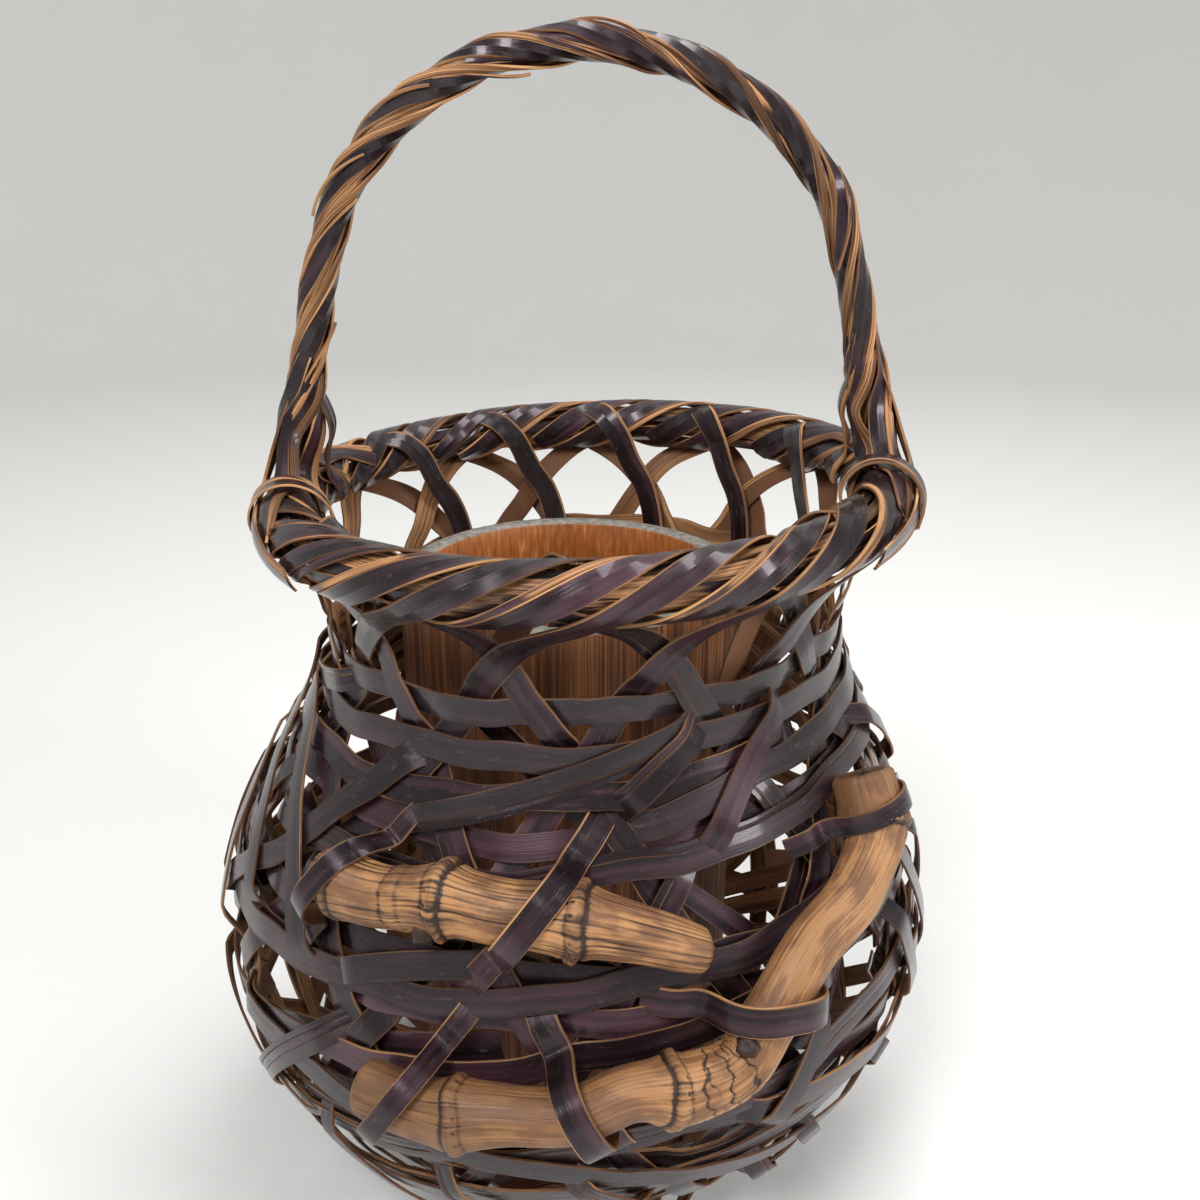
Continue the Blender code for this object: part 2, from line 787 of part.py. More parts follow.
def make_rim_winding(number, material):
    """One strip wound round the rim, passing between the risen strips."""
    touch = math.degrees(rim_tangent_angle(RIM_LINE_RADIUS - LAYER_STEP / 2))
    line = STAKE_START_ANGLE + turned_at(RIM_TOUCH_PLACE) + STAKE_PITCH_ANGLE / 2
    line = line + (number - 1) * STAKE_PITCH_ANGLE
    steps = round(WINDING_TURNS * FULL_TURN / WINDING_STEP_ANGLE)
    roll = -QUARTER_TURN + np.arange(steps + 1) * WINDING_STEP_ANGLE
    angles = line + (roll - touch) / RIM_STARTS_PER_TURN
    points, outward = on_rim(angles, roll, RIM_LINE_RADIUS)
    return make_strip(
        f"rim_winding_{number}",
        material,
        leaned(points),
        outward,
        RIM_STRIP_WIDTH,
        winding_length=2 * math.pi * RIM_RADIUS / RIM_STARTS_PER_TURN,
    )


def make_tail(number, place_angle, material):
    """The end of a strip that has come over the rim and hangs inside."""
    distance = RIM_LINE_RADIUS + TAIL_LAYER
    roll = np.array((TAIL_START_ANGLE, TAIL_START_ANGLE + 30, TAIL_START_ANGLE + 60))
    sweep = math.degrees(TAIL_SWEEP / RIM_RADIUS)
    top_angles = place_angle + sweep * np.array((0, 0.18, 0.34)) * -1
    top, top_out = on_rim(top_angles, roll, distance)
    radius = RIM_RADIUS - distance
    shares = np.array((0.40, 0.72, 1.0))
    drops = TAIL_LENGTH * shares
    angles = np.radians(place_angle - sweep * (0.34 + shares * 0.66))
    inner = radius - TAIL_INWARD_SHARE * drops
    hang = np.stack(
        (inner * np.cos(angles), inner * np.sin(angles), RIM_HEIGHT - drops), axis=1
    )
    hang_out = np.stack((-np.cos(angles), -np.sin(angles), 0 * angles), axis=1)
    points = np.concatenate((top, hang))
    outward = np.concatenate((top_out, hang_out))
    return make_strip(f"tail_{number}", material, leaned(points), outward, STRIP_WIDTH)


def handle_line(count):
    """Points along the middle of the handle, left foot to right foot."""
    foot = RIM_HEIGHT + HANDLE_SEAT_ABOVE_RIM
    half = ((RIM_RADIUS, foot),) + HANDLE_LEG
    left = tuple((-width, height) for width, height in half)
    corners = left + ((0, HANDLE_TOP_HEIGHT),) + tuple(reversed(half))
    flat = rounded_curve(corners, count)
    tip = math.tan(math.radians(RIM_TIP_ANGLE))
    share = (HANDLE_TOP_HEIGHT - flat[:, 1]) / (HANDLE_TOP_HEIGHT - foot)
    height = flat[:, 1] + flat[:, 0] * tip * share
    return np.stack((flat[:, 0] + HANDLE_SHIFT, 0 * height, height), axis=1)


def make_handle_core(material):
    """The inner rod of the handle."""
    points = handle_line(HANDLE_CORE_STEPS + 1)
    sideways = np.array([[0, 1.0, 0]] * len(points))
    radii = [HANDLE_CORE_RADIUS] * len(points)
    return make_rod("handle_core", material, points, sideways, radii, HANDLE_CORE_SIDES)


def make_handle_strip(number, material):
    """One of the strips wound round the handle like the strand of a rope."""
    dense = handle_line(800)
    lengths = lengths_along(dense)
    start = HANDLE_STRIP_INSET
    end = lengths[-1] - HANDLE_STRIP_INSET
    count = round((end - start) / HANDLE_PITCH * FULL_TURN / HANDLE_STEP_ANGLE)
    places = np.linspace(start, end, count + 1)
    middle = picked(places, lengths, dense)
    along = directions_along(middle, False)
    sideways = np.array([[0, 1.0, 0]] * len(middle))
    other = np.cross(along, sideways)
    turns = 2 * math.pi * (places / HANDLE_PITCH + (number - 1) / HANDLE_STRIPS)
    outward = np.cos(turns)[:, None] * sideways + np.sin(turns)[:, None] * other
    distance = HANDLE_CORE_RADIUS + SEAT_GAP + STRIP_THICKNESS / 2
    return make_strip(
        f"handle_strip_{number}",
        material,
        middle + outward * distance,
        outward,
        HANDLE_STRIP_WIDTH,
        wound=True,
        winding_length=HANDLE_PITCH,
    )


def make_outer_strand(name, side, material):
    """A handle strand that passes outside the rim and runs along it."""
    distance = RIM_LINE_RADIUS + STRAND_LAYER
    middle = QUARTER_TURN - side * QUARTER_TURN
    shares = np.array((0, 0.25, 0.5, 0.75, 1.0))
    angles = middle - side * (5 + 33 * shares)
    roll = 24 - 48 * shares
    low, low_out = on_rim(angles, roll, distance)
    gap = HANDLE_CORE_RADIUS + 4 * STRIP_THICKNESS
    heights = np.array((HANDLE_LOW_HEIGHT + gap, HANDLE_LOW_HEIGHT - gap))
    widths = HANDLE_LOW_HALF_WIDTH + gap + np.array((-STRAND_CLEARANCE, STRAND_SPREAD))
    high = np.stack((side * widths, -np.array((0, STRAND_SIDE_STEP / 2)), heights), axis=1)
    high_out = np.array([[side * 1.0, 0, 0]] * 2)
    points = np.concatenate((leaned(high), leaned(low)))
    outward = np.concatenate((high_out, low_out))
    return make_strip(name, material, points, outward, STRAND_WIDTH)


def make_inner_strand(name, side, material):
    """A handle strand that comes down inside the rim, its end cut off."""
    distance = RIM_LINE_RADIUS + STRAND_LAYER
    middle = QUARTER_TURN - side * QUARTER_TURN
    angles = middle + side * np.array((6.0, 8.0, 10.0))
    low, low_out = on_rim(angles, np.array((140.0, 165.0, 190.0)), distance)
    gap = HANDLE_CORE_RADIUS + 4 * STRIP_THICKNESS
    heights = np.array((HANDLE_LOW_HEIGHT + gap, HANDLE_LOW_HEIGHT - gap))
    widths = HANDLE_LOW_HALF_WIDTH - gap - np.array((STRAND_SPREAD, STRAND_CLEARANCE))
    high = np.stack((side * widths, np.array((0, STRAND_SIDE_STEP)), heights), axis=1)
    high_out = np.array([[side * -1.0, 0, 0]] * 2)
    points = np.concatenate((leaned(high), leaned(low)))
    outward = np.concatenate((high_out, low_out))
    return make_strip(name, material, points, outward, STRAND_WIDTH)


def make_band(name, side, material):
    """A wide strip bent over the rim beside the handle's foot."""
    distance = RIM_LINE_RADIUS + BAND_LAYER
    middle = QUARTER_TURN - side * QUARTER_TURN
    roll = np.linspace(BAND_START_ANGLE, BAND_END_ANGLE, 11)
    angles = middle - side * BAND_PLACE_ANGLE + 0 * roll
    points, outward = on_rim(angles, roll, distance)
    return make_strip(name, material, leaned(points), outward, BAND_WIDTH)


def root_track(place_shares):
    """Angles and distances up the section along a root piece."""
    flat = np.array(
        [(angle, place_at_height(share * RIM_HEIGHT)) for angle, share in place_shares]
    )
    scaled = flat * np.array((math.radians(BELLY_RADIUS), 1))
    dense = rounded_curve(scaled, ROOT_SAMPLES + 1)
    return dense[:, 0] / math.radians(BELLY_RADIUS), dense[:, 1]


def make_root(name, place_shares, node_shares, material):
    """A piece of bamboo root, thicker at its nodes."""
    dense, out_dense = on_body(*root_track(place_shares))
    dense = dense + out_dense * (ROOT_RADIUS + ROOT_NODE_BULGE + ROOT_SEAT)
    lengths = lengths_along(dense)
    count = round(lengths[-1] / ROOT_STEP)
    places = list(np.linspace(0, lengths[-1], count + 1))
    nodes = [share * lengths[-1] for share in node_shares]
    places = [p for p in places if all(abs(p - n) > ROOT_STEP / 2 for n in nodes)]
    places = np.array(sorted(places + nodes))
    points = picked(places, lengths, dense)
    facing = unit(picked(places, lengths, out_dense))
    radii = []
    for place in places:
        near = min(abs(place - node) for node in nodes)
        radii.append(ROOT_RADIUS + ROOT_NODE_BULGE * max(0, 1 - near / ROOT_NODE_WIDTH))
    return make_rod(name, material, leaned(points), facing, radii, ROOT_SIDES)


def make_tie(name, place_shares, tie_shares, material):
    """A strip that passes over a root piece and lies on the weave beside it."""
    along_share, direction = tie_shares
    track_angles, track_places = root_track(place_shares)
    nearest = round(along_share * ROOT_SAMPLES)
    angle = track_angles[nearest]
    place = track_places[nearest]
    radius = section_at(place)[0]
    root_across = math.radians(track_angles[nearest + 1] - track_angles[nearest - 1]) * radius
    root_upward = track_places[nearest + 1] - track_places[nearest - 1]
    slope = math.radians(direction)
    crossing = slope - math.atan2(root_upward, root_across)
    edge_lead = abs(math.cos(crossing)) * STRIP_WIDTH / 2
    over = ROOT_RADIUS + ROOT_NODE_BULGE + SEAT_GAP + STRIP_THICKNESS / 2
    centre = ROOT_RADIUS + ROOT_NODE_BULGE + ROOT_SEAT
    lean = math.radians(TIE_LEAN_ANGLE)
    bends = np.array((-lean, -lean / 2, 0, lean / 2, lean))
    reaches = np.sign(bends) * edge_lead + over * np.sin(bends)
    lifts = centre + over * np.cos(bends)
    foot = reaches[-1] + (lifts[-1] - TIE_CLEARANCE) / math.tan(lean)
    feet = np.array((foot, foot + TIE_REACH)) / abs(math.sin(crossing))
    middle, facing = on_body(angle, place)
    turn = math.radians(angle)
    sideways = np.array([[-math.sin(turn), math.cos(turn), 0]])
    travel = sideways * math.cos(slope) + np.cross(facing, sideways) * math.sin(slope)
    bridge = middle + travel * reaches[:, None] / abs(math.sin(crossing))
    bridge = bridge + facing * lifts[:, None]
    feet = np.concatenate((-feet[::-1], feet))
    foot_angles = angle + np.degrees(feet * math.cos(slope) / radius)
    foot_points, foot_facing = on_body(foot_angles, place + feet * math.sin(slope))
    foot_points = foot_points + foot_facing * TIE_CLEARANCE
    points = np.concatenate((foot_points[:2], bridge, foot_points[2:]))
    bridge_facing = np.repeat(facing, len(bends), axis=0)
    outward = np.concatenate((foot_facing[:2], bridge_facing, foot_facing[2:]))
    return make_strip(name, material, leaned(points), outward, STRIP_WIDTH)


def make_liner(material):
    """The water tube with its floor, closed below and open above."""
    rest = float(section_at(LINER_RADIUS)[1])
    floor = rest + LAYER_STEP / 2 + STRIP_THICKNESS / 2 + LINER_SEAT_GAP
    top = RIM_HEIGHT - LINER_BELOW_RIM
    outline = (
        (LINER_RADIUS, floor),
        (LINER_RADIUS, top),
        (LINER_RADIUS - LINER_WALL, top),
        (LINER_RADIUS - LINER_WALL, floor + LINER_FLOOR),
    )
    turns = np.arange(LINER_SIDES) * 2 * math.pi / LINER_SIDES

    def fill(shape):
        rings = []
        for radius, height in outline:
            ring = [
                shape.verts.new((radius * math.cos(turn), radius * math.sin(turn), height))
                for turn in turns
            ]
            rings.append(ring)
        for lower, upper in zip(rings, rings[1:]):
            for side in range(LINER_SIDES):
                other = (side + 1) % LINER_SIDES
                shape.faces.new((lower[side], lower[other], upper[other], upper[side]))
        shape.faces.new(list(reversed(rings[0])))
        shape.faces.new(rings[-1])

    return new_object("liner_tube", material, fill)


def make_foot_ring(material):
    """The ring under the base that the basket stands on."""
    top = BASE_HEIGHT - LAYER_STEP / 2 - STRIP_THICKNESS / 2 - SEAT_GAP
    outline = (
        (FOOT_RING_OUTER_RADIUS, 0),
        (FOOT_RING_OUTER_RADIUS, top),
        (FOOT_RING_INNER_RADIUS, top),
        (FOOT_RING_INNER_RADIUS, 0),
    )
    turns = np.arange(FOOT_RING_SIDES) * 2 * math.pi / FOOT_RING_SIDES
    rings = [
        [(radius * math.cos(turn), radius * math.sin(turn), height) for radius, height in outline]
        for turn in turns
    ]

    def fill(shape):
        sweep_sections(shape, rings, True)

    return new_object("foot_ring", material, fill)


def new_material(name, colour, roughness, metallic=0):
    """A plain surface with its colour, roughness and metallic value."""
    material = bpy.data.materials.new(name)
    material.use_nodes = True
    shader = material.node_tree.nodes["Principled BSDF"]
    shader.inputs["Base Color"].default_value = (*colour, 1)
    shader.inputs["Roughness"].default_value = roughness
    shader.inputs["Metallic"].default_value = metallic
    return material


def centre_on_origin(things):
    """Shift every mesh so the whole basket is centred over the origin."""
    corners = np.array([vert.co for thing in things for vert in thing.data.vertices])
    low = corners.min(axis=0)
    high = corners.max(axis=0)
    shift = Vector(((low[0] + high[0]) / 2, (low[1] + high[1]) / 2, low[2]))
    for thing in things:
        for vert in thing.data.vertices:
            vert.co = vert.co - shift


def build():
    """Make every piece of the basket."""
    clear_scene()
    dark = new_material("dark_bamboo", (0.050, 0.034, 0.040), 0.42)
    tan = new_material("tan_bamboo", (0.42, 0.24, 0.12), 0.6)
    root = new_material("bamboo_root", (0.45, 0.27, 0.13), 0.55)
    lacquer = new_material("lacquered_tube", (0.36, 0.14, 0.05), 0.45)
    things = []
    strips = base_strips()
    lines = rising_lines()
    hoops = hoop_places()
    right_hits, left_hits, hoop_hits = crossings_of_lines(lines, hoops)
    flat_hits = base_crossings(strips)
    for index, strip in enumerate(strips):
        things.append(
            make_stake(
                index + 1, strip, lines[index], right_hits[index], left_hits[index],
                flat_hits[index], dark,
            )
        )
    for index, mean_place in enumerate(hoops):
        things.append(make_hoop(index + 1, mean_place, hoop_hits[index], dark))
    for index in range(len(OVERLAY_PLACE_SHARES)):
        things.append(make_overlay(index + 1, dark))
    things.append(make_rim_core(tan))
    things.append(make_rim_winding(1, dark))
    things.append(make_rim_winding(2, dark))
    for index, place_angle in enumerate(TAIL_PLACE_ANGLES):
        things.append(make_tail(index + 1, place_angle, dark))
    things.append(make_handle_core(tan))
    for number in range(HANDLE_STRIPS):
        things.append(make_handle_strip(number + 1, dark))
    for name, side in (("left", -1), ("right", 1)):
        things.append(make_outer_strand(f"handle_strand_outer_{name}", side, dark))
        things.append(make_inner_strand(f"handle_strand_inner_{name}", side, dark))
        things.append(make_band(f"handle_band_{name}", side, dark))
    things.append(make_root("root_upper", ROOT_UPPER_PLACE_SHARES, ROOT_UPPER_NODE_SHARES, root))
    things.append(make_root("root_bent", ROOT_BENT_PLACE_SHARES, ROOT_BENT_NODE_SHARES, root))
    for name, place_shares, tie_shares in (
        ("tie_upper", ROOT_UPPER_PLACE_SHARES, TIE_UPPER_SHARES),
        ("tie_junction", ROOT_BENT_PLACE_SHARES, TIE_JUNCTION_SHARES),
        ("tie_lower", ROOT_BENT_PLACE_SHARES, TIE_LOWER_SHARES),
    ):
        things.append(make_tie(name, place_shares, tie_shares, dark))
    things.append(make_liner(lacquer))
    things.append(make_foot_ring(tan))
    centre_on_origin(things)
    count = 0
    for thing in things:
        count += sum(len(face.vertices) - 2 for face in thing.data.polygons)
    print("pieces", len(things), "triangles", count)


build()
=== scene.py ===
import math

import bmesh
import bpy
import numpy as np
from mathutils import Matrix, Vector


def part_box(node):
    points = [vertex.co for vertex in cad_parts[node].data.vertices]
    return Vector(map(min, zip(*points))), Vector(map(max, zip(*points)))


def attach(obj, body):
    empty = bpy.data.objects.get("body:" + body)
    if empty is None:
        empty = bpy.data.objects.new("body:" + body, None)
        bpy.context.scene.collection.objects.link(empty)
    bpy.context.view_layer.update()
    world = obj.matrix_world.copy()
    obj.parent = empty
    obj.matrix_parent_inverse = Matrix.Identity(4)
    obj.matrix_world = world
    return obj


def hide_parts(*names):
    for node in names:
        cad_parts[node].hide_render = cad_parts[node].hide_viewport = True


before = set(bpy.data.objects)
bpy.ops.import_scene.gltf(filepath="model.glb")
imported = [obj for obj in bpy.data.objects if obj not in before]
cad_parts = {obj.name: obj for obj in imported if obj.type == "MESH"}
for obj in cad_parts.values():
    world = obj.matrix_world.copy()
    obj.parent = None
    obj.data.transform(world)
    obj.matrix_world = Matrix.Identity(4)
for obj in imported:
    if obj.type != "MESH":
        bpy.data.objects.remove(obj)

bl_info = {
    "name": "Woven flower basket",
    "version": (1, 0, 0),
    "blender": (4, 5, 0),
    "location": "View3D > Sidebar > Basket",
    "description": "Builds a split bamboo flower basket with its handle, roots and water tube",
    "category": "Add Mesh",
}

# ---------------------------------------------------------------- sizes
# Lengths are in metres, and angles in degrees where math.radians doesn't turn
# them. A share is a part of one.

FULL_TURN = 360.0
HALF_TURN = 180.0
QUARTER_TURN = 90.0
SIXTH_TURN = 60.0

# How closely lines are sampled: along the body, along the handle, along other
# strips and round the rim
BODY_STEP, HANDLE_STEP, FINE_STEP, RIM_STEP_ANGLE, WINDING_STEP_ANGLE = (
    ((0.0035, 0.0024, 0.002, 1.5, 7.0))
)

# The woven body. Its outline is in shares of the belly's or the rim's radius
# and of the rim's height
BASE_HEIGHT = 0.0105
BASE_FLAT_RADIUS = 0.0660
BASE_EDGE_RADIUS, BASE_EDGE_HEIGHT = 0.0840, 0.0120
BELLY_RADIUS = 0.1590
RIM_RADIUS, RIM_HEIGHT = 0.1250, 0.3250
LAYER_STEP = 0.0021
BODY_OUTLINE_SHARES = (
    (0.7044, 0.0985), (0.8931, 0.2215), (1.0000, 0.3692), (0.9560, 0.5169), (0.8302, 0.6554),
)
NECK_OUTLINE_SHARES = ((0.8920, 0.7877), (0.9040, 0.8769), (0.9440, 0.9292))
WALL_SAMPLES = 600

# The rolled rim
RIM_CORE_RADIUS = 0.0080
RIM_CORE_STRANDS = 11
RIM_CORE_STRAND_WIDTH = 0.0046
RIM_CORE_TWIST_ANGLE = 25.0
RIM_CORE_UNEVENNESS, RIM_CORE_WAVER_LENGTH = 0.0004, 0.1
RIM_LINE_RADIUS = 0.0116
RIM_STRIP_WIDTH = 0.0130
RIM_STARTS_PER_TURN = 6
RIM_LINE_END_ANGLE = 215.0
WINDING_SWEEP_ANGLE = 2130.0
RIM_BEND_SPREAD = 0.0200
RIM_CURL = 60.0
RIM_CURL_EASE = 0.0120

# The long strips that cross the base and rise to the rim
BASE_LINE_SPACING = 0.0200
FIRST_ROW_RADIUS = BASE_LINE_SPACING * math.sqrt(52 / 3)
STRIP_LEAN_ANGLE = 58.0
EVENING_START = FIRST_ROW_RADIUS + 0.0012
EVENING_LENGTH = 0.0400
STAKE_PITCH_ANGLE = 30.0
ROW_PITCH_ANGLE = 15.0
STAKE_START_ANGLE = 15.0
END_PAST_TOUCH = 0.0030
LAST_OVER_FROM_END = 0.0270
LINE_STEP = 0.0010
CROSSING_HALF_LENGTH = 0.0105
SHORTEST_RISE = 0.0030
RISE_SOFTENING = 0.0050

# The weavers that run round the body between the crossings
HOOP_CLEAR_OF_ROW = 0.0225
HOOP_PAIR_SPACE = 0.0610
HOOP_WAVE = 0.0012
HOOP_WAVE_SHARES = (0.9, -0.7, 0.5, -1.0, 0.8, -0.6, 1.0, -0.8)
HOOP_START_ANGLE, HOOP_START_STEP_ANGLE = 60, 47
HOOP_LAP_ANGLE = 14.0
HOOP_LAP_TUCK, HOOP_LAP_LENGTH, HOOP_LAP_EASE = 0.0013, 0.0500, 0.0200
HOOP_ANGLE_STEP = 0.5

# The outermost weavers, each a stretch of a tilted ring: start angle, sweep
# angle, mean height and swing as shares of the rim's height, the angle at
# which the ring runs highest, and its layer counted outward
OUTER_CLEARANCE = 0.0036
OUTER_UNEVENNESS, OUTER_WAVER_LENGTH = 0.0005, 0.08
OUTER_SAMPLES = 400
OUTER_WEAVERS = (
    (-172.0, 340.0, 0.790, 0.012, 0.0, 0),
    (-20.0, 340.0, 0.742, 0.020, 0.0, 0),
    (-160.0, 335.0, 0.665, 0.030, 0.0, 0),
    (-10.0, 338.0, 0.548, 0.045, 0.0, 0),
    (-150.0, 342.0, 0.475, 0.080, 0.0, 0),
    (20.0, 340.0, 0.360, 0.090, 0.0, 0),
    (-165.0, 340.0, 0.270, 0.080, 0.0, 0),
    (-170.0, 52.0, 0.620, 0.400, -54.0, 1),
    (-30.0, 72.0, 0.386, 0.300, -60.0, 1),
    (-150.0, 140.0, 0.330, 0.100, 180.0, 1),
    (-84.0, 145.0, 0.700, 0.060, 0.0, 1),
    (20.0, 140.0, 0.480, 0.150, -20.0, 1),
)

# The loose strips that a maker pushes into the finished weave: how many, the
# nearest layer they lie in (outward is positive), how many layers, their
# least and greatest length and slope, and the seed
LOOSE_KINDS = (
    ("shallow", 34, 0.0057, 1, 0.080, 0.210, 6.0, 30.0, 330),
    ("steep", 46, 0.0078, 1, 0.060, 0.150, 42.0, 66.0, 333),
    ("inner", 44, -0.0042, 2, 0.140, 0.320, 8.0, 62.0, 340),
)
LOOSE_LOW_SHARE, LOOSE_HIGH_SHARE = 0.10, 0.84
LOOSE_BOW_ANGLE = 28.0
LOOSE_STEP = 0.0020
LOOSE_TRIES = 14
LOOSE_CLEARANCE = 0.0145
TUCK_LENGTH = 0.0180
TUCK_DEPTH = 0.0032
ROOT_KEEP_CLEAR = 0.0200

# The ends of the strips that come over the rim and hang inside the neck: the
# angles round the basket, then where each lies on the rim's roll and hangs
# below it, with the share of its sideways sweep that it has made there
TAIL_PLACE_ANGLES = (62.0, 90.0, 118.0, 146.0, 34.0, 218.0, 270.0, 322.0)
TAIL_LINE_RADIUS = RIM_LINE_RADIUS + 0.0037
TAIL_SWEEP_ANGLE = math.degrees(0.0400 / RIM_RADIUS)
TAIL_ON_RIM = ((110.0, -0.0046, 0.0), (146.0, -0.0010, 0.20), (178.0, 0.0, 0.40))
TAIL_DROPS = ((0.01728, 0.66), (0.02784, 0.86), (0.0384, 0.98), (0.0480, 1.05), (0.05856, 1.10))
TAIL_INWARD_SHARE = 0.10

# The hoop handle. Its leg is in shares of the rim's radius and the hoop's rise
HANDLE_RISE = 0.1765
HANDLE_CORE_RADIUS = 0.0070
HANDLE_DRAWN_IN = 0.0024
HANDLE_CORE_STRANDS = 9
HANDLE_CORE_STRAND_WIDTH = 0.0052
HANDLE_STRIP_WIDTHS = (0.01104, 0.01032, 0.0096)
HANDLE_STRIP_LIFT = 0.0017
HANDLE_CORE_UNEVENNESS, HANDLE_CORE_WAVER_LENGTHS = 0.0009, (0.05, 0.09)
HANDLE_STRIP_UNEVENNESS, HANDLE_STRIP_WAVER_LENGTH = 0.0011, 0.07
HANDLE_STRIP_TILT = math.radians(9.0)
HANDLE_PITCH = 0.1160
HANDLE_SHIFT = 0.0072
HANDLE_FOOT_HEIGHT = RIM_HEIGHT + 0.0141
HANDLE_STRIP_INSET = 0.0060
HANDLE_SAMPLES = 800
HANDLE_LEG_SHARES = (
    (0.9440, 0.2550), (0.8800, 0.4589), (0.7840, 0.6799), (0.5880, 0.8499), (0.3200, 0.9603),
)
HANDLE_CURL = 95.0
FOOT_CURL = 45.0
SLIVERS = 8

# The strands that leave each foot outside (1) or inside (-1) the rim: how far
# along the rim they drift, the angles round it at which they lie on it, how
# far their tops are drawn in, and their steps to the side
STRAND_WIDTH = 0.0110
STRAND_LINE_RADIUS = RIM_LINE_RADIUS + 0.0035
STRAND_REACH = 0.0118
HANDLE_STRANDS = {
    "strand_outer": (
        1, (5.0, 13.25, 21.5, 29.75, 38.0), (24.0, 12.0, 0.0, -12.0, -24.0),
        (0.0105, 0.0006), (0.0, -0.0025),
    ),
    "strand_inner": (
        -1, (-6.0, -8.0, -10.0), (140.0, 165.0, 190.0), (0.0100, 0.0022), (0.0, 0.0050),
    ),
}
BAND_WIDTH = 0.0140
BAND_LINE_RADIUS = RIM_LINE_RADIUS + 0.0052
BAND_PLACE_ANGLE = 13.0
BAND_ROLL_ANGLES = (-28.0, 205.0)
BAND_DRIFT_ANGLE = 6.0

# The strips that fan out from each foot of the handle onto the rim: the side
# of the handle they leave from, how far along the rim they drift, the angles
# round the rim at which they lie on it, and their width
FOOT_STRIPS = (
    (20.0, (3.0, 9.0, 18.0), (58.0, 14.0, -20.0), 0.0110),
    (-30.0, (-3.0, -9.0, -16.0), (60.0, 16.0, -18.0), 0.0100),
    (75.0, (9.0, 17.0, 28.0), (84.0, 60.0, 8.0), 0.0110),
    (160.0, (4.0, 9.0, 13.0), (120.0, 160.0, 196.0), 0.0110),
    (212.0, (-3.0, -9.0, -14.0), (120.0, 158.0, 190.0), 0.0090),
    (-82.0, (-8.0, -17.0, -28.0), (95.0, 112.0, 158.0), 0.0105),
)
FOOT_HEIGHTS = np.array((0.052, 0.034, 0.019))
FOOT_AWAY = HANDLE_CORE_RADIUS + np.array((-0.0030, 0.0006, 0.0022))

# The bamboo root pieces: angle round the basket and share of the rim's height
ROOT_RADIUS = 0.0112
ROOT_NODE_BULGE = 0.0013
ROOT_SEAT = 0.0048
ROOT_SAMPLES = 300
ROOT_STEP, ROOT_SIDES = ((0.0007, 112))
UPPER_PLACES = (
    (-128.0, 0.6277), (-117.5, 0.6308), (-107.0, 0.6431), (-100.0, 0.6369), (-91.0, 0.6308),
    (-81.0, 0.6123), (-72.0, 0.5877),
)
BENT_PLACES = (
    (-37.0, 0.6862), (-38.4, 0.6277), (-46.2, 0.5877), (-57.0, 0.5600), (-64.3, 0.5108),
    (-68.5, 0.4708), (-74.6, 0.4585), (-82.3, 0.4615), (-87.6, 0.4462), (-98.0, 0.4431),
    (-104.0, 0.4369), (-115.0, 0.4400),
)

# Each root piece: its places, the depth of its wrinkles, its seed, and along
# its length by share its nodes and their size, how it swells, how aged it is,
# where it creases, and its cut side roots by share, angle, height and radius
ROOTS = (
    (
        "root_upper", UPPER_PLACES, 1.0, 600,
        ((0.07, 0.8), (0.25, 0.3), (0.36, 1.0), (0.68, 1.1)),
        (
            (0.0, -0.0004), (0.06, 0.0010), (0.10, 0.0012), (0.17, 0.0004), (0.24, -0.0006),
            (0.31, 0.0000), (0.36, 0.0018), (0.40, 0.0002), (0.54, -0.0004), (0.66, 0.0014),
            (0.71, 0.0004), (0.82, -0.0010), (0.94, -0.0018), (1.0, -0.0030),
        ),
        ((0.0, 1.0), (0.07, 0.8), (0.13, 0.25), (0.30, 0.05), (0.92, 0.1), (1.0, 0.6)),
        None,
        ((0.31, 78.0, 0.0080, 0.0040), (0.655, -70.0, 0.0036, 0.0036)),
    ),
    (
        "root_bent", BENT_PLACES, 0.45, 601,
        ((0.07, 1.0), (0.575, 1.0), (0.86, 0.9)),
        (
            (0.0, 0.0010), (0.06, 0.0014), (0.14, -0.0008), (0.30, -0.0012), (0.46, -0.0002),
            (0.56, 0.0016), (0.62, -0.0010), (0.78, -0.0014), (0.85, 0.0008), (0.91, -0.0006),
            (1.0, -0.0012),
        ),
        (
            (0.0, 0.75), (0.08, 0.35), (0.30, 0.42), (0.40, 0.50), (0.55, 0.30), (0.66, 0.55),
            (1.0, 0.85),
        ),
        0.50,
        ((0.445, 48.0, 0.0045, 0.0040),),
    ),
)
CAP_SHARES = (0.8, 0.45, 0.12)
STUB_SIDES = 20
STUB_LEVELS = ((0.0, 1.25), (0.45, 1.02), (0.85, 0.92), (1.0, 0.75), (0.93, 0.35))

# The strips that hold the root pieces, then more strips of the weave that
# cross their ends: the share of the root's length, and the strip's direction
TIE_LEAN = math.radians(75.0)
TIE_REACH = 0.0060
TIE_TUCK_LENGTH = 0.0120
TIE_CLEARANCE = 0.0056
TIE_WIDTH = 0.0110
TIE_OVER_ROOT = ROOT_RADIUS + ROOT_NODE_BULGE + 0.0010
TIES = (
    ("tie_upper", UPPER_PLACES, 0.58, 55.0),
    ("tie_junction", BENT_PLACES, 0.40, -9.0),
    ("tie_lower", BENT_PLACES, 0.70, -60.0),
)
ROOT_END_STRIPS = (
    (UPPER_PLACES, 0.045, 62.0, 0.80), (BENT_PLACES, 0.945, 58.0, 0.80),
    (BENT_PLACES, 0.045, 4.0, 0.75),
)

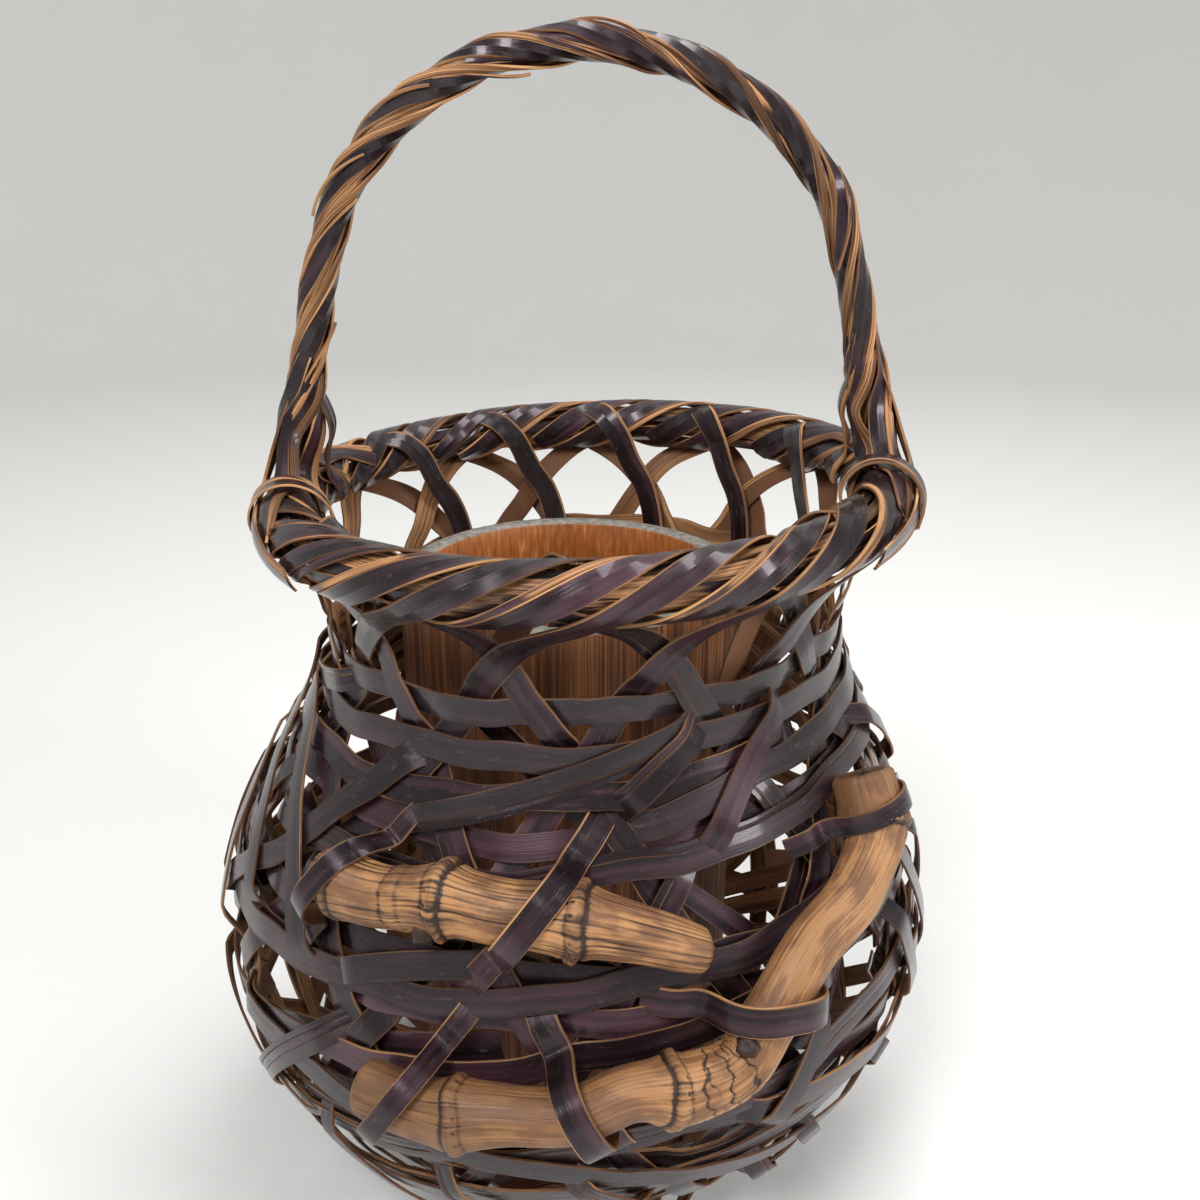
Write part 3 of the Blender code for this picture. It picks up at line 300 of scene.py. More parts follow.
# The foot ring and the water tube
FOOT_RING_ROWS = 6
FOOT_RING_STEP_ANGLE = 2.0
FOOT_RING_INSET = 0.0006
FOOT_RING_THICKNESS = 0.0088
TUBE_SIDES = 192
TUBE_SOFT_EDGE = 0.0010
TUBE_POLE_RADIUS = 0.0006
TUBE_UNEVENNESS = 0.0010
TUBE_FLOOR_BEVEL = 0.0030
TUBE_GRAIN_RADIUS, TUBE_GRAIN_DRIFT = 0.075, 0.01

# How the hand-made basket leans
LEAN_SHIFT = 0.0075
LEAN_START_SHARE, LEAN_END_SHARE = 0.3692, 0.9846
RIM_TIP = math.tan(math.radians(2.2))

# The stage
CAMERA_PLACE = (0.0135, -0.5030, 0.4720)
CAMERA_TILT_ANGLE = 68.5
CAMERA_LENS = 36.09
LAMP_AIM = Vector((0, 0, 0.25))
LAMPS = (
    ("key_lamp", (-0.55, -1.15, 1.75), 0.7, 24),
    ("top_lamp", (0.35, 0.55, 1.95), 1.1, 20),
    ("side_lamp", (1.45, -0.85, 1.15), 0.6, 15),
)
WORLD_COLOUR, WORLD_STRENGTH = (1.0, 0.985, 0.965, 1), 0.45
BOWL_RADIUS, BOWL_FILLET, BOWL_HEIGHT = 3.2, 1.1, 2.6
BOWL_SIDES, BOWL_FILLET_STEPS = 96, 12

BODY_OUTLINE = np.array(BODY_OUTLINE_SHARES) * (BELLY_RADIUS, RIM_HEIGHT)
NECK_OUTLINE = np.array(NECK_OUTLINE_SHARES) * (RIM_RADIUS, RIM_HEIGHT)
THROAT_RADIUS, THROAT_HEIGHT = NECK_OUTLINE[-1]
HANDLE_LEG = np.array(HANDLE_LEG_SHARES) * (RIM_RADIUS, HANDLE_RISE) + (0, RIM_HEIGHT)
HANDLE_TOP_HEIGHT = RIM_HEIGHT + HANDLE_RISE

# The water tube stands upright on the basket's own axis
TUBE_LOW, TUBE_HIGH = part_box("liner_tube")
AXIS = np.mean((TUBE_LOW, TUBE_HIGH), axis=0) * (1, 1, 0)


# ------------------------------------------------------------ lines and rings

def smooth_share(value):
    """Ease from zero to one."""
    share = np.clip(value, 0, 1)
    return share * share * (3 - 2 * share)


def hill(away, width):
    """A smooth hill of height one."""
    return np.exp(-((away / width) ** 2))


def eased(values, reach):
    """The values with their sudden changes smoothed over a number of samples."""
    kernel = np.hanning(2 * reach + 3)[1:-1]
    return np.convolve(np.pad(values, reach, mode="edge"), kernel / kernel.sum(), mode="valid")


def columns(*values):
    """Points from their separate coordinates."""
    return np.stack(np.broadcast_arrays(*values), axis=-1)


def around(angles, radius, height):
    """Points or directions round the basket's axis."""
    turn = np.radians(angles)
    return columns(radius * np.cos(turn), radius * np.sin(turn), height)


def unit(vectors):
    """The same directions with length one."""
    return vectors / np.linalg.norm(vectors, axis=1)[:, None]


def lengths_along(points):
    """Distance travelled at each point."""
    steps = np.linalg.norm(np.diff(points, axis=0), axis=1)
    return np.concatenate(([0], np.cumsum(steps)))


def directions_along(points):
    """Unit directions of travel at each point."""
    return unit(np.gradient(points, axis=0))


def picked(places, lengths, values):
    """Values at given distances along a line."""
    return np.stack([np.interp(places, lengths, column) for column in values.T], axis=1)


def resampled(points, outward, step):
    """Even places along a line, with its points and directions there."""
    lengths = lengths_along(points)
    places = np.linspace(0, lengths[-1], round(lengths[-1] / step) + 1)
    return places, picked(places, lengths, points), unit(picked(places, lengths, outward))


def rounded_curve(points, count, carried=None):
    """A smooth curve through the points, evenly sampled between them.

    With carried, a value for each point, the smooth run of that value.
    """
    values = np.array(points if carried is None else carried, float)
    places = lengths_along(np.array(points, float))
    steps = np.diff(places)
    slopes = np.gradient(values, places, axis=0)
    samples = np.linspace(0, places[-1], count)
    index = np.minimum(np.searchsorted(places, samples, side="right") - 1, len(steps) - 1)
    length = steps[index][:, None]
    share = (samples - places[index])[:, None] / length
    square = share * share
    cube = square * share
    return (
        (2 * cube - 3 * square + 1) * values[index]
        + (cube - 2 * square + share) * length * slopes[index]
        + (3 * square - 2 * cube) * values[index + 1]
        + (cube - square) * length * slopes[index + 1]
    )


def ring_faces(rows, sides, first=0):
    """Faces between rings of points that follow each other."""
    faces = []
    for low in range(first, first + (rows - 1) * sides, sides):
        for side in range(sides):
            other = (side + 1) % sides
            faces.append((low + side, low + other, low + sides + other, low + sides + side))
    return faces


# ------------------------------------------------- the basket's own surface

# Where round the rim core the rising strips first touch it
MIDDLE_RADIUS = RIM_LINE_RADIUS - LAYER_STEP / 2
THROAT_TO_RIM = math.hypot(RIM_RADIUS - THROAT_RADIUS, RIM_HEIGHT - THROAT_HEIGHT)
TOUCH_ANGLE = math.degrees(
    math.atan2(RIM_HEIGHT - THROAT_HEIGHT, RIM_RADIUS - THROAT_RADIUS)
    - math.asin(MIDDLE_RADIUS / THROAT_TO_RIM)
) - QUARTER_TURN


def body_section():
    """The weave's middle surface as radius and height, from centre to rim."""
    angles = np.radians(np.arange(TOUCH_ANGLE, RIM_LINE_END_ANGLE, 1))
    roll = (RIM_RADIUS, RIM_HEIGHT) + MIDDLE_RADIUS * columns(np.cos(angles), np.sin(angles))
    base = (
        (0, BASE_HEIGHT), (BASE_FLAT_RADIUS, BASE_HEIGHT), (BASE_EDGE_RADIUS, BASE_EDGE_HEIGHT)
    )
    corners = np.concatenate((base, BODY_OUTLINE, NECK_OUTLINE, roll[:1]))
    wall = np.maximum(rounded_curve(corners, WALL_SAMPLES), (-1, BASE_HEIGHT))
    return np.concatenate((wall, roll[1:]))


SECTION = body_section()
SECTION_PLACES = lengths_along(SECTION)
SECTION_SLOPES = np.gradient(SECTION, SECTION_PLACES, axis=0)
SECTION_END = SECTION_PLACES[-1]
RIM_TOUCH_PLACE = SECTION_PLACES[WALL_SAMPLES - 1]
THROAT_PLACE = RIM_TOUCH_PLACE - THROAT_TO_RIM


def section_at(place):
    """Radius, height and outward direction at a distance up the section."""
    radius, height, across, upward = (
        np.interp(place, SECTION_PLACES, column) for column in (*SECTION.T, *SECTION_SLOPES.T)
    )
    length = np.hypot(across, upward)
    return radius, height, upward / length, -across / length


def place_at_height(height):
    """Distance up the section at which the wall reaches a height."""
    return np.interp(height, SECTION[:WALL_SAMPLES, 1], SECTION_PLACES[:WALL_SAMPLES])


def on_body(angles, places):
    """Points of the middle surface and their outward directions."""
    angles = np.atleast_1d(angles)
    radius, height, out_flat, out_up = section_at(places)
    return around(angles, radius, height), around(angles, out_flat, out_up)


def on_rim(angles, roll_angles, distance):
    """Points round the rim core at a distance from its middle, and their outward directions."""
    roll = np.radians(roll_angles)
    outward = around(angles, np.cos(roll), np.sin(roll))
    middle = around(angles, RIM_RADIUS, RIM_HEIGHT)
    return middle + outward * np.reshape(distance, (-1, 1)), outward


def leaned(points):
    """The same points after the hand-made lean of the neck and rim."""
    across = points[:, 0]
    rise = points[:, 2] / RIM_HEIGHT - LEAN_START_SHARE
    share = smooth_share(rise / (LEAN_END_SHARE - LEAN_START_SHARE))
    return points + columns(LEAN_SHIFT * share, 0, across * RIM_TIP * share)


# ------------------------------------------------------ the weave's own rule

def lean_angle_table():
    """How far round a rising strip has turned at each place up the section."""
    places = np.arange(0, SECTION_END, LINE_STEP)
    radius = np.maximum(section_at(places)[0], BASE_FLAT_RADIUS)
    rate = 1 / (radius * math.tan(math.radians(STRIP_LEAN_ANGLE)))
    rim_rate = 1 / (RIM_STARTS_PER_TURN * MIDDLE_RADIUS)
    bend_start = THROAT_PLACE - RIM_BEND_SPREAD
    bend_length = THROAT_TO_RIM + 2 * RIM_BEND_SPREAD
    rate = rate + (rim_rate - rate) * smooth_share((places - bend_start) / bend_length)
    turned = np.degrees(np.cumsum(rate) * LINE_STEP)
    return places, turned - np.interp(FIRST_ROW_RADIUS, places, turned)


TURN_PLACES, TURN_ANGLES = lean_angle_table()


def turned_at(place):
    """Angle a rising strip has turned through since the base's edge."""
    return np.interp(place, TURN_PLACES, TURN_ANGLES)


def rising_end(line_angle, line_offset, sense, end):
    """Angles and places of one end of a base strip as it rises, sense being its lean."""
    places = np.linspace(EVENING_START, end, int((end - EVENING_START) / LINE_STEP))
    straight = line_angle + sense * np.degrees(np.arccos(line_offset / places))
    edge = line_angle + sense * math.degrees(math.acos(line_offset / BASE_EDGE_RADIUS))
    slot = round((edge - STAKE_START_ANGLE) / STAKE_PITCH_ANGLE)
    even = STAKE_START_ANGLE + slot * STAKE_PITCH_ANGLE + sense * turned_at(places)
    share = smooth_share((places - EVENING_START) / EVENING_LENGTH)
    return straight + (even - straight) * share, places


def hoop_places():
    """Mean distance up the section of each weaver hoop."""
    count = int(turned_at(THROAT_PLACE) / ROW_PITCH_ANGLE) + 1
    rows = np.interp(np.arange(count) * ROW_PITCH_ANGLE, TURN_ANGLES, TURN_PLACES)
    places = []
    for low, high in zip(rows, rows[1:]):
        if high - low > HOOP_PAIR_SPACE:
            places += [low + HOOP_CLEAR_OF_ROW, high - HOOP_CLEAR_OF_ROW]
        else:
            places.append((low + high) / 2)
    return places


# Line angle and offset of each strip through the base, and its rising ends
BASE_STRIPS = [
    (turn * SIXTH_TURN, step * BASE_LINE_SPACING) for turn in range(6) for step in (1, 3)
]
RIGHT_ENDS = [rising_end(*strip, 1, SECTION_END) for strip in BASE_STRIPS]
LEFT_ENDS = [rising_end(*strip, -1, RIM_TOUCH_PLACE + END_PAST_TOUCH) for strip in BASE_STRIPS]
HOOPS = hoop_places()


def hoop_line(index, angles):
    """Distance up the section of a hoop at the given angles."""
    wave = HOOP_WAVE * HOOP_WAVE_SHARES[index]
    turns = 1 + index % 3
    return HOOPS[index] + wave * np.sin(np.radians(turns * angles + index * SIXTH_TURN))


def crossings():
    """Where every strip passes over or under another one, and its side there."""
    right_hits, left_hits, hoop_hits = (
        [[] for _ in lines] for lines in (BASE_STRIPS, BASE_STRIPS, HOOPS)
    )
    for (right_angles, right_places), hits in zip(RIGHT_ENDS, right_hits):
        for (angles, places), other_hits in zip(LEFT_ENDS, left_hits):
            gap = np.interp(places, right_places, right_angles) - angles
            gap = (gap + HALF_TURN) % FULL_TURN - HALF_TURN
            swap = (gap[:-1] * gap[1:] <= 0) & (abs(gap[:-1]) < STAKE_PITCH_ANGLE)
            for place in places[:-1][swap]:
                hits.append((place, 1))
                other_hits.append((place, -1))
    for index in range(len(HOOPS)):
        for ends, all_hits, sign in ((RIGHT_ENDS, right_hits, -1), (LEFT_ENDS, left_hits, 1)):
            for (angles, places), hits in zip(ends, all_hits):
                gap = hoop_line(index, angles) - places
                for hit in np.where(gap[:-1] * gap[1:] <= 0)[0]:
                    hits.append((places[hit], sign))
                    hoop_hits[index].append((angles[hit] % FULL_TURN, -sign))
    return right_hits, left_hits, hoop_hits


RIGHT_HITS, LEFT_HITS, HOOP_HITS = crossings()


def base_crossings(angle, offset):
    """Crossings on the straight part of a base strip: distance along it and side."""
    hits = []
    for other_angle, other_offset in BASE_STRIPS:
        turn = round((other_angle - angle) % HALF_TURN / SIXTH_TURN)
        if turn == 0:
            continue
        difference = math.radians(other_angle - angle)
        along = (other_offset - offset * math.cos(difference)) / math.sin(difference)
        if math.hypot(offset, along) < EVENING_START:
            hits.append((along, 1 if turn == 2 else -1))
    return hits


def woven_line(points, outward, hits, relief):
    """A strip's line, over and under what it crosses, and its facing."""
    hits = sorted(hits)
    marks = [(0, hits[0][1])]
    for (place, side), (next_place, next_side) in zip(hits, hits[1:]):
        middle = (place + next_place) / 2
        half_rise = max(SHORTEST_RISE / 2, (next_place - place) / 2 - CROSSING_HALF_LENGTH)
        if side == next_side:
            half_rise = 0
        marks += [(middle - half_rise, side), (middle + half_rise, next_side)]
    marks.append((lengths_along(points)[-1], hits[-1][1]))
    places, line, facing = resampled(points, outward, BODY_STEP)
    sides = eased(np.interp(places, *zip(*marks)), max(1, round(RISE_SOFTENING / BODY_STEP)))
    return line + facing * sides[:, None] * relief, facing


def outer_track(start_angle, sweep, mean_share, swing_share, high_angle, _):
    """Angles and distances up the section along an outermost weaver."""
    angles = start_angle + sweep * np.linspace(0, 1, OUTER_SAMPLES + 1)
    share = mean_share + swing_share * np.cos(np.radians(angles - high_angle))
    return angles, place_at_height(share * RIM_HEIGHT)


def root_track(place_shares):
    """Angles and distances up the section along a root piece."""
    angles, shares = np.array(place_shares).T
    metres = math.radians(BELLY_RADIUS)
    flat = columns(angles * metres, place_at_height(shares * RIM_HEIGHT))
    dense = rounded_curve(flat, ROOT_SAMPLES + 1)
    return dense[:, 0] / metres, dense[:, 1]


# ------------------------------------------------------------ split strips

# How a hand-laid strip strays to the side, and over what lengths it calms down
WANDER_LENGTH, END_EASE, CALM_EASE = 0.11, 0.02, 0.03

# How a strip's width, its splits, its lift and its twist waver along it
WIDTH_WAVER, WIDTH_WAVER_LENGTH = 0.07, 0.16
SPLIT_LEAST, SPLIT_MOST, SPLIT_WAVER_LENGTH = -0.4, 1.6, 0.13
LIFT_WAVER_LENGTH = 0.09
TWIST_ANGLE, TWIST_WAVER_LENGTH = 3.0, 0.12
PARTING_EASE = 0.05
NARROWEST_STRAND = 0.0008
FEWEST_POINTS = 4


def waver(places, length, chance):
    """A slow wandering value within about one of zero."""
    value = 0
    for part in (1.0, 0.53, 0.29):
        start = chance.uniform(0, math.tau)
        value = value + part * np.sin(math.tau * places / (length * part) + start)
    return value / 1.82


def strip_frame(points, outward):
    """Unit directions along, across and out of a strip."""
    along = directions_along(points)
    across = unit(np.cross(outward, along))
    return along, across, np.cross(along, across)


def wandered(points, outward, amount, chance, calm_after=None):
    """The same line wandering a little to both sides, as a hand-laid strip does."""
    across = strip_frame(points, outward)[1]
    places = lengths_along(points)
    share = smooth_share(places / END_EASE) * smooth_share((places[-1] - places) / END_EASE)
    if calm_after is not None:
        share = share * smooth_share((calm_after - places) / CALM_EASE)
    return points + across * (waver(places, WANDER_LENGTH, chance) * amount * share)[:, None]


def tucked(places, lift):
    """The lift of a strip whose two ends dip under its neighbours."""
    from_end = np.minimum(places, places[-1] - places)
    return ((lift + TUCK_DEPTH) * smooth_share(from_end / TUCK_LENGTH) - TUCK_DEPTH)[:, None]


def usual_parts(chance):
    """How a strip of this basket has split: mostly not at all."""
    pick = chance.uniform(0, 1)
    ways = ((0.62, (1.0,)), (0.78, (0.74, 0.26)), (0.92, (0.30, 0.70)), (1.0, (0.46, 0.32, 0.22)))
    return next(parts for limit, parts in ways if pick < limit)


def strands_of(points, outward, width, chance, parts=(1.0,), gap=0.00022, ragged=0.0,
               lift=0.00018, part_after=None, bare=(0.0,), bare_edge=0.0, curl=0.0, stained=0.0):
    """Part a strip lengthwise into strands that lie side by side.

    parts are the strands' shares of the width. The splits between them open
    and close along the strip. bare says how far each strand has lost its
    skin, and bare_edge how much of the width is bare along one edge. curl is
    the curvature across the strip where it is bent round something. stained
    is how dark the bare parts have gone.
    """
    _, across, facing = strip_frame(points, outward)
    places = lengths_along(points)
    edges = np.concatenate(([0], np.cumsum(parts))) / sum(parts) - 0.5
    full = 1 + WIDTH_WAVER * waver(places, WIDTH_WAVER_LENGTH, chance)
    strands = []
    for index, (low, high) in enumerate(zip(edges, edges[1:])):
        split = waver(places, SPLIT_WAVER_LENGTH, chance)
        opened = gap * (0.6 + np.clip(split, SPLIT_LEAST, SPLIT_MOST))
        if part_after is not None:
            opened = opened * (0.35 + 2.4 * smooth_share((places - part_after) / PARTING_EASE))
        strand_width = np.maximum((high - low) * width * full - opened, NARROWEST_STRAND)
        offset = (low + high) / 2 * (width * full + 0.4 * opened)
        bent = offset * curl
        rise = lift * waver(places, LIFT_WAVER_LENGTH, chance) - offset * bent / 2
        twist = np.radians(TWIST_ANGLE * waver(places, TWIST_WAVER_LENGTH, chance))
        turn = (twist - bent)[:, None]
        sideways = offset * (1 - bent**2 / 6)
        cut = [round(chance.uniform(0, ragged) / max(places[1], 0.0001)) for _ in range(2)]
        keep = slice(cut[0], max(len(places) - cut[1], cut[0] + FEWEST_POINTS))
        strand = {
            "middle": points + across * sideways[:, None] + facing * rise[:, None],
            "across": across * np.cos(turn) + facing * np.sin(turn),
            "facing": facing * np.cos(turn) - across * np.sin(turn),
            "strand_width": strand_width,
            "strand_offset": offset,
            "strand_seed": np.full(len(places), chance.uniform(0, 100)),
            "along": places,
            "curl": strand_width**2 * curl / 2,
            "worn": np.tile((bare[index % len(bare)], bare_edge, stained), (len(places), 1)),
        }
        strands.append({key: values[keep] for key, values in strand.items()})
    return strands


def smooth_strands(points, outward, width, chance, **settings):
    """Strands along a smooth curve through a few points."""
    count = max(8, round(lengths_along(points)[-1] / FINE_STEP))
    facing = unit(rounded_curve(points, count, outward))
    return strands_of(rounded_curve(points, count), facing, width, chance, **settings)


# ------------------------------------------------------------ node trees

class Nodes:
    """A small helper that adds and links the nodes of one tree."""

    def __init__(self, tree):
        self.tree = tree

    def put(self, socket, value):
        """Link a socket to another one, or set its value."""
        if isinstance(value, bpy.types.NodeSocket):
            self.tree.links.new(value, socket)
        else:
            socket.default_value = value

    def add(self, kind, inputs=None, **settings):
        """The outputs of a new node."""
        made = self.tree.nodes.new(kind)
        for key, value in settings.items():
            setattr(made, key, value)
        for key, value in (inputs or {}).items():
            self.put(made.inputs[key], value)
        return made.outputs

    def maths(self, operation, *values):
        return self.add("ShaderNodeMath", dict(enumerate(values)), operation=operation)[0]

    def times(self, first, second):
        return self.maths("MULTIPLY", first, second)

    def plus(self, first, second):
        return self.maths("ADD", first, second)

    def minus(self, first, second):
        return self.maths("SUBTRACT", first, second)

    def split(self, vector):
        return self.add("ShaderNodeSeparateXYZ", {0: vector})

    def joined(self, *values):
        return self.add("ShaderNodeCombineXYZ", dict(enumerate(values)))[0]


CREASE_ANGLE = math.radians(26.0)
PROFILE_WIDTH = 0.01


def strip_tree(sizes):
    """The node tree that lays a rounded flat strip along each line of a mesh."""
    tree = bpy.data.node_groups.new("strip laid along a line", "GeometryNodeTree")
    for name, kind, value in (
        ("Geometry", "Geometry", None),
        ("Strip Thickness", "Float", sizes.strip_thickness),
        ("Skin Arch", "Float", sizes.skin_arch),
        ("Edge Rounding", "Float", sizes.edge_rounding),
        ("Edge Steps", "Int", 1),
        ("Crease Angle", "Float", CREASE_ANGLE),
        ("Finish", "Material", None),
    ):
        socket = tree.interface.new_socket(name, in_out="INPUT", socket_type=f"NodeSocket{kind}")
        if value is not None:
            socket.default_value = value
    tree.interface.new_socket("Geometry", in_out="OUTPUT", socket_type="NodeSocketGeometry")
    nodes = Nodes(tree)
    add, maths, times = nodes.add, nodes.maths, nodes.times
    given = add("NodeGroupInput")
    thickness = given["Strip Thickness"]

    def named(name, kind="FLOAT"):
        return add("GeometryNodeInputNamedAttribute", {"Name": name}, data_type=kind)["Attribute"]

    def kept(geometry, name, value):
        inputs = {"Geometry": geometry, "Name": name, "Value": value}
        return add(
            "GeometryNodeStoreNamedAttribute", inputs, data_type="FLOAT_VECTOR", domain="POINT"
        )[0]

    def vectors(operation, inputs):
        return add("ShaderNodeVectorMath", inputs, operation=operation)[0]

    def moved(name, distance):
        direction = named(name, "FLOAT_VECTOR")
        return vectors("SCALE", {0: direction, "Scale": distance})

    lines = add("GeometryNodeMeshToCurve", {"Mesh": given["Geometry"]})[0]
    lines = kept(lines, "middle", add("GeometryNodeInputPosition")[0])
    profile = add(
        "GeometryNodeCurvePrimitiveQuadrilateral",
        {"Width": PROFILE_WIDTH, "Height": thickness}, mode="RECTANGLE",
    )[0]
    profile = add("GeometryNodeSubdivideCurve", {"Curve": profile, "Cuts": 1})[0]
    rounding = {
        "Curve": profile, "Count": given["Edge Steps"], "Radius": given["Edge Rounding"],
        "Limit Radius": True,
    }
    profile = add("GeometryNodeFilletCurve", rounding, mode="POLY")[0]
    spot = nodes.split(add("GeometryNodeInputPosition")[0])
    spot = nodes.joined(
        maths("DIVIDE", spot["X"], PROFILE_WIDTH), maths("DIVIDE", spot["Y"], thickness)
    )
    profile = kept(profile, "strip_face", spot)
    swept = {"Curve": lines, "Profile Curve": profile, "Fill Caps": True}
    mesh = add("GeometryNodeCurveToMesh", swept)[0]

    face = nodes.split(named("strip_face", "FLOAT_VECTOR"))
    sideways = times(face["X"], named("strand_width"))
    flat = times(face["X"], face["X"])
    bow = times(maths("MULTIPLY_ADD", flat, -4.0, 1.0), given["Skin Arch"])
    bow = maths("SUBTRACT", bow, times(flat, named("curl")))
    outward = nodes.plus(times(face["Y"], thickness), bow)
    shift = vectors("ADD", {0: moved("across", sideways), 1: moved("facing", outward)})
    place = vectors("ADD", {0: named("middle", "FLOAT_VECTOR"), 1: shift})
    mesh = add("GeometryNodeSetPosition", {"Geometry": mesh, "Position": place})[0]
    beside = nodes.plus(sideways, named("strand_offset"))
    mesh = kept(mesh, "strip_place", nodes.joined(named("along"), beside, named("strand_seed")))
    mesh = add("GeometryNodeSetShadeSmooth", {"Geometry": mesh})[0]
    angle = add("GeometryNodeInputMeshEdgeAngle")["Unsigned Angle"]
    sharp = maths("GREATER_THAN", angle, given["Crease Angle"])
    crisp = {"Geometry": mesh, "Selection": sharp, "Shade Smooth": False}
    mesh = add("GeometryNodeSetShadeSmooth", crisp, domain="EDGE")[0]
    mesh = add("GeometryNodeRealizeInstances", {"Geometry": mesh})[0]
    finished = {"Geometry": mesh, "Material": given["Finish"]}
    mesh = add("GeometryNodeSetMaterial", finished)[0]
    add("NodeGroupOutput", {"Geometry": mesh})
    return tree


class Shading(Nodes):
    """A small helper that adds and links the nodes of one material."""

    def __init__(self, name):
        self.material = bpy.data.materials.new(name)
        self.material.use_nodes = True
        super().__init__(self.material.node_tree)

    def attribute(self, name, part="Vector"):
        return self.add("ShaderNodeAttribute", attribute_name=name)[part]

    def mapped(self, vector, scale, shift):
        inputs = {"Vector": vector, "Scale": scale, "Location": shift}
        return self.add("ShaderNodeMapping", inputs)[0]

    def noise(self, vector, scale, detail=3.0, roughness=0.5):
        inputs = {"Vector": vector, "Scale": scale, "Detail": detail, "Roughness": roughness}
        return self.add("ShaderNodeTexNoise", inputs)[0]

    def grain(self, vector, scale, detail=3.0, roughness=0.5, shift=(0, 0, 0)):
        """Noise that is stretched differently along each direction."""
        return self.noise(self.mapped(vector, scale, shift), 1.0, detail, roughness)

    def blended(self, first, share, second, other_share):
        """The sum of two values, each times its share."""
        return self.plus(self.times(first, share), self.times(second, other_share))

    def between(self, value, low, high, to_low=0.0, to_high=1.0):
        """A value eased from one level to another between two limits."""
        inputs = dict(zip(("Value", "From Min", "From Max", "To Min", "To Max"),
                          (value, low, high, to_low, to_high)))
        return self.add("ShaderNodeMapRange", inputs, interpolation_type="SMOOTHSTEP")[0]

    def ramp(self, value, *stops):
        """Colours at the stops, each a place, a colour and how light it is."""
        made = self.tree.nodes.new("ShaderNodeValToRGB")
        self.put(made.inputs["Fac"], value)
        bar = made.color_ramp.elements
        while len(bar) < len(stops):
            bar.new(0.5)
        for element, (place, colour, share) in zip(bar, stops):
            element.position = place
            element.color = (*toned(colour, share), 1)
        return made.outputs["Color"]

    def mix(self, factor, first, second):
        first, second = (
            value if isinstance(value, bpy.types.NodeSocket) else (*value, 1)
            for value in (first, second)
        )
        inputs = {"Factor": factor, 6: first, 7: second}
        return self.add("ShaderNodeMix", inputs, data_type="RGBA")[2]

    def bump(self, height, strength, distance):
        inputs = {"Height": height, "Strength": strength, "Distance": distance}
        return self.add("ShaderNodeBump", inputs)[0]

    def finish(self, **inputs):
        """Set or link the shader's own sockets."""
        shader = self.tree.nodes["Principled BSDF"]
        for key, value in inputs.items():
            self.put(shader.inputs[key.replace("_", " ")], value)
        return self.material


def toned(colour, share=1.0):
    """The same colour, darker or lighter."""
    return tuple(min(1.0, channel * share) for channel in colour)


# --------------------------------------------------------------- finishes

def strip_finish(name, colours, bare):
    """Smoked bamboo strip: dark glossy skin, bare edges and inner face.

    bare is how much of the skin has been split away.
    """
    shade = Shading(name)
    mix, times, plus, between = shade.mix, shade.times, shade.plus, shade.between
    skin_dark, skin_warm = colours.skin_dark, colours.skin_warm
    tan_dark, tan_light = colours.tan_dark, colours.tan_light
    place = shade.attribute("strip_place")
    across, depth, _ = shade.split(shade.attribute("strip_face"))
    bare_skin, bare_edge, stained = shade.split(shade.attribute("worn"))
    fibres = shade.grain(place, (14, 1700, 1.7), 4.0, 0.6)
    streaks = shade.grain(place, (5, 260, 1.3), 3.0, 0.55)
    cloud = shade.grain(place, (16, 60, 2.1))
    own = shade.grain(place, (0.8, 0.0, 3.7), 1.0)
    skin = shade.ramp(
        shade.blended(streaks, 0.55, cloud, 0.45),
        (0.32, skin_dark, 0.6), (0.47, skin_dark, 1), (0.58, skin_warm, 1), (0.72, skin_warm, 1.9),
    )
    grey = mix(0.6, skin, toned(colours.skin_grey))
    skin = mix(between(own, 0.46, 0.66), skin, grey)

    # The bare wood of the edges and of the inner face, darker where stained
    pith = shade.ramp(
        fibres, (0.28, tan_dark, 0.45), (0.44, tan_dark, 1), (0.58, tan_light, 1),
        (0.78, tan_light, 1.3),
    )
    stain = between(shade.grain(place, (9, 90, 1.9), 2.0), 0.46, 0.68)
    pith = mix(times(stain, 0.8), pith, toned(tan_dark, 0.22))
    inner_tone = mix(between(own, 0.40, 0.60), toned(tan_dark, 0.75), pith)
    pith = mix(stained, pith, toned(tan_dark, 0.26))
    pith = mix(between(depth, -0.20, -0.42), pith, inner_tone)

    # The skin is kept on the outer face, short of the edges and bare patches
    ragged = times(shade.minus(fibres, 0.5), 0.08)
    edge = plus(shade.maths("ABSOLUTE", across), ragged)
    one_side = plus(plus(across, ragged), bare_edge)
    near_edge = times(between(edge, 0.488, 0.462), between(one_side, 0.525, 0.485))
    kept = between(shade.minus(cloud, bare_skin), 0.24 + bare, 0.30 + bare)
    mask = times(times(near_edge, between(depth, 0.05, 0.30)), kept)
    dust = shade.grain(place, (120, 420, 1.0), 4.0, 0.7)
    dust = times(between(dust, 0.58, 0.72), 0.35)
    dull = times(shade.minus(1.0, mask), 0.32)
    rough = plus(between(cloud, 0.3, 0.7, 0.20, 0.36), dull)
    relief = plus(fibres, times(cloud, 0.8))
    return shade.finish(
        Base_Color=mix(dust, mix(mask, pith, skin), toned(colours.dust)),
        Roughness=plus(rough, times(dust, 0.35)),
        Specular_IOR_Level=0.32,
        Specular_Tint=(1.0, 0.82, 0.92, 1.0),
        Coat_Weight=times(mask, 0.30),
        Coat_Roughness=0.11,
        Normal=shade.bump(relief, 0.28, 0.0006),
    )


# Painted shade in the roots' wrinkles, grooves, scar pits and creases; the same brown also darkens
# the middles of their cut ends and the tops of their stubs
SHADE_AND_CUT_BROWN = (0.030, 0.014, 0.008)
FLECK_BROWN = (0.12, 0.06, 0.03)


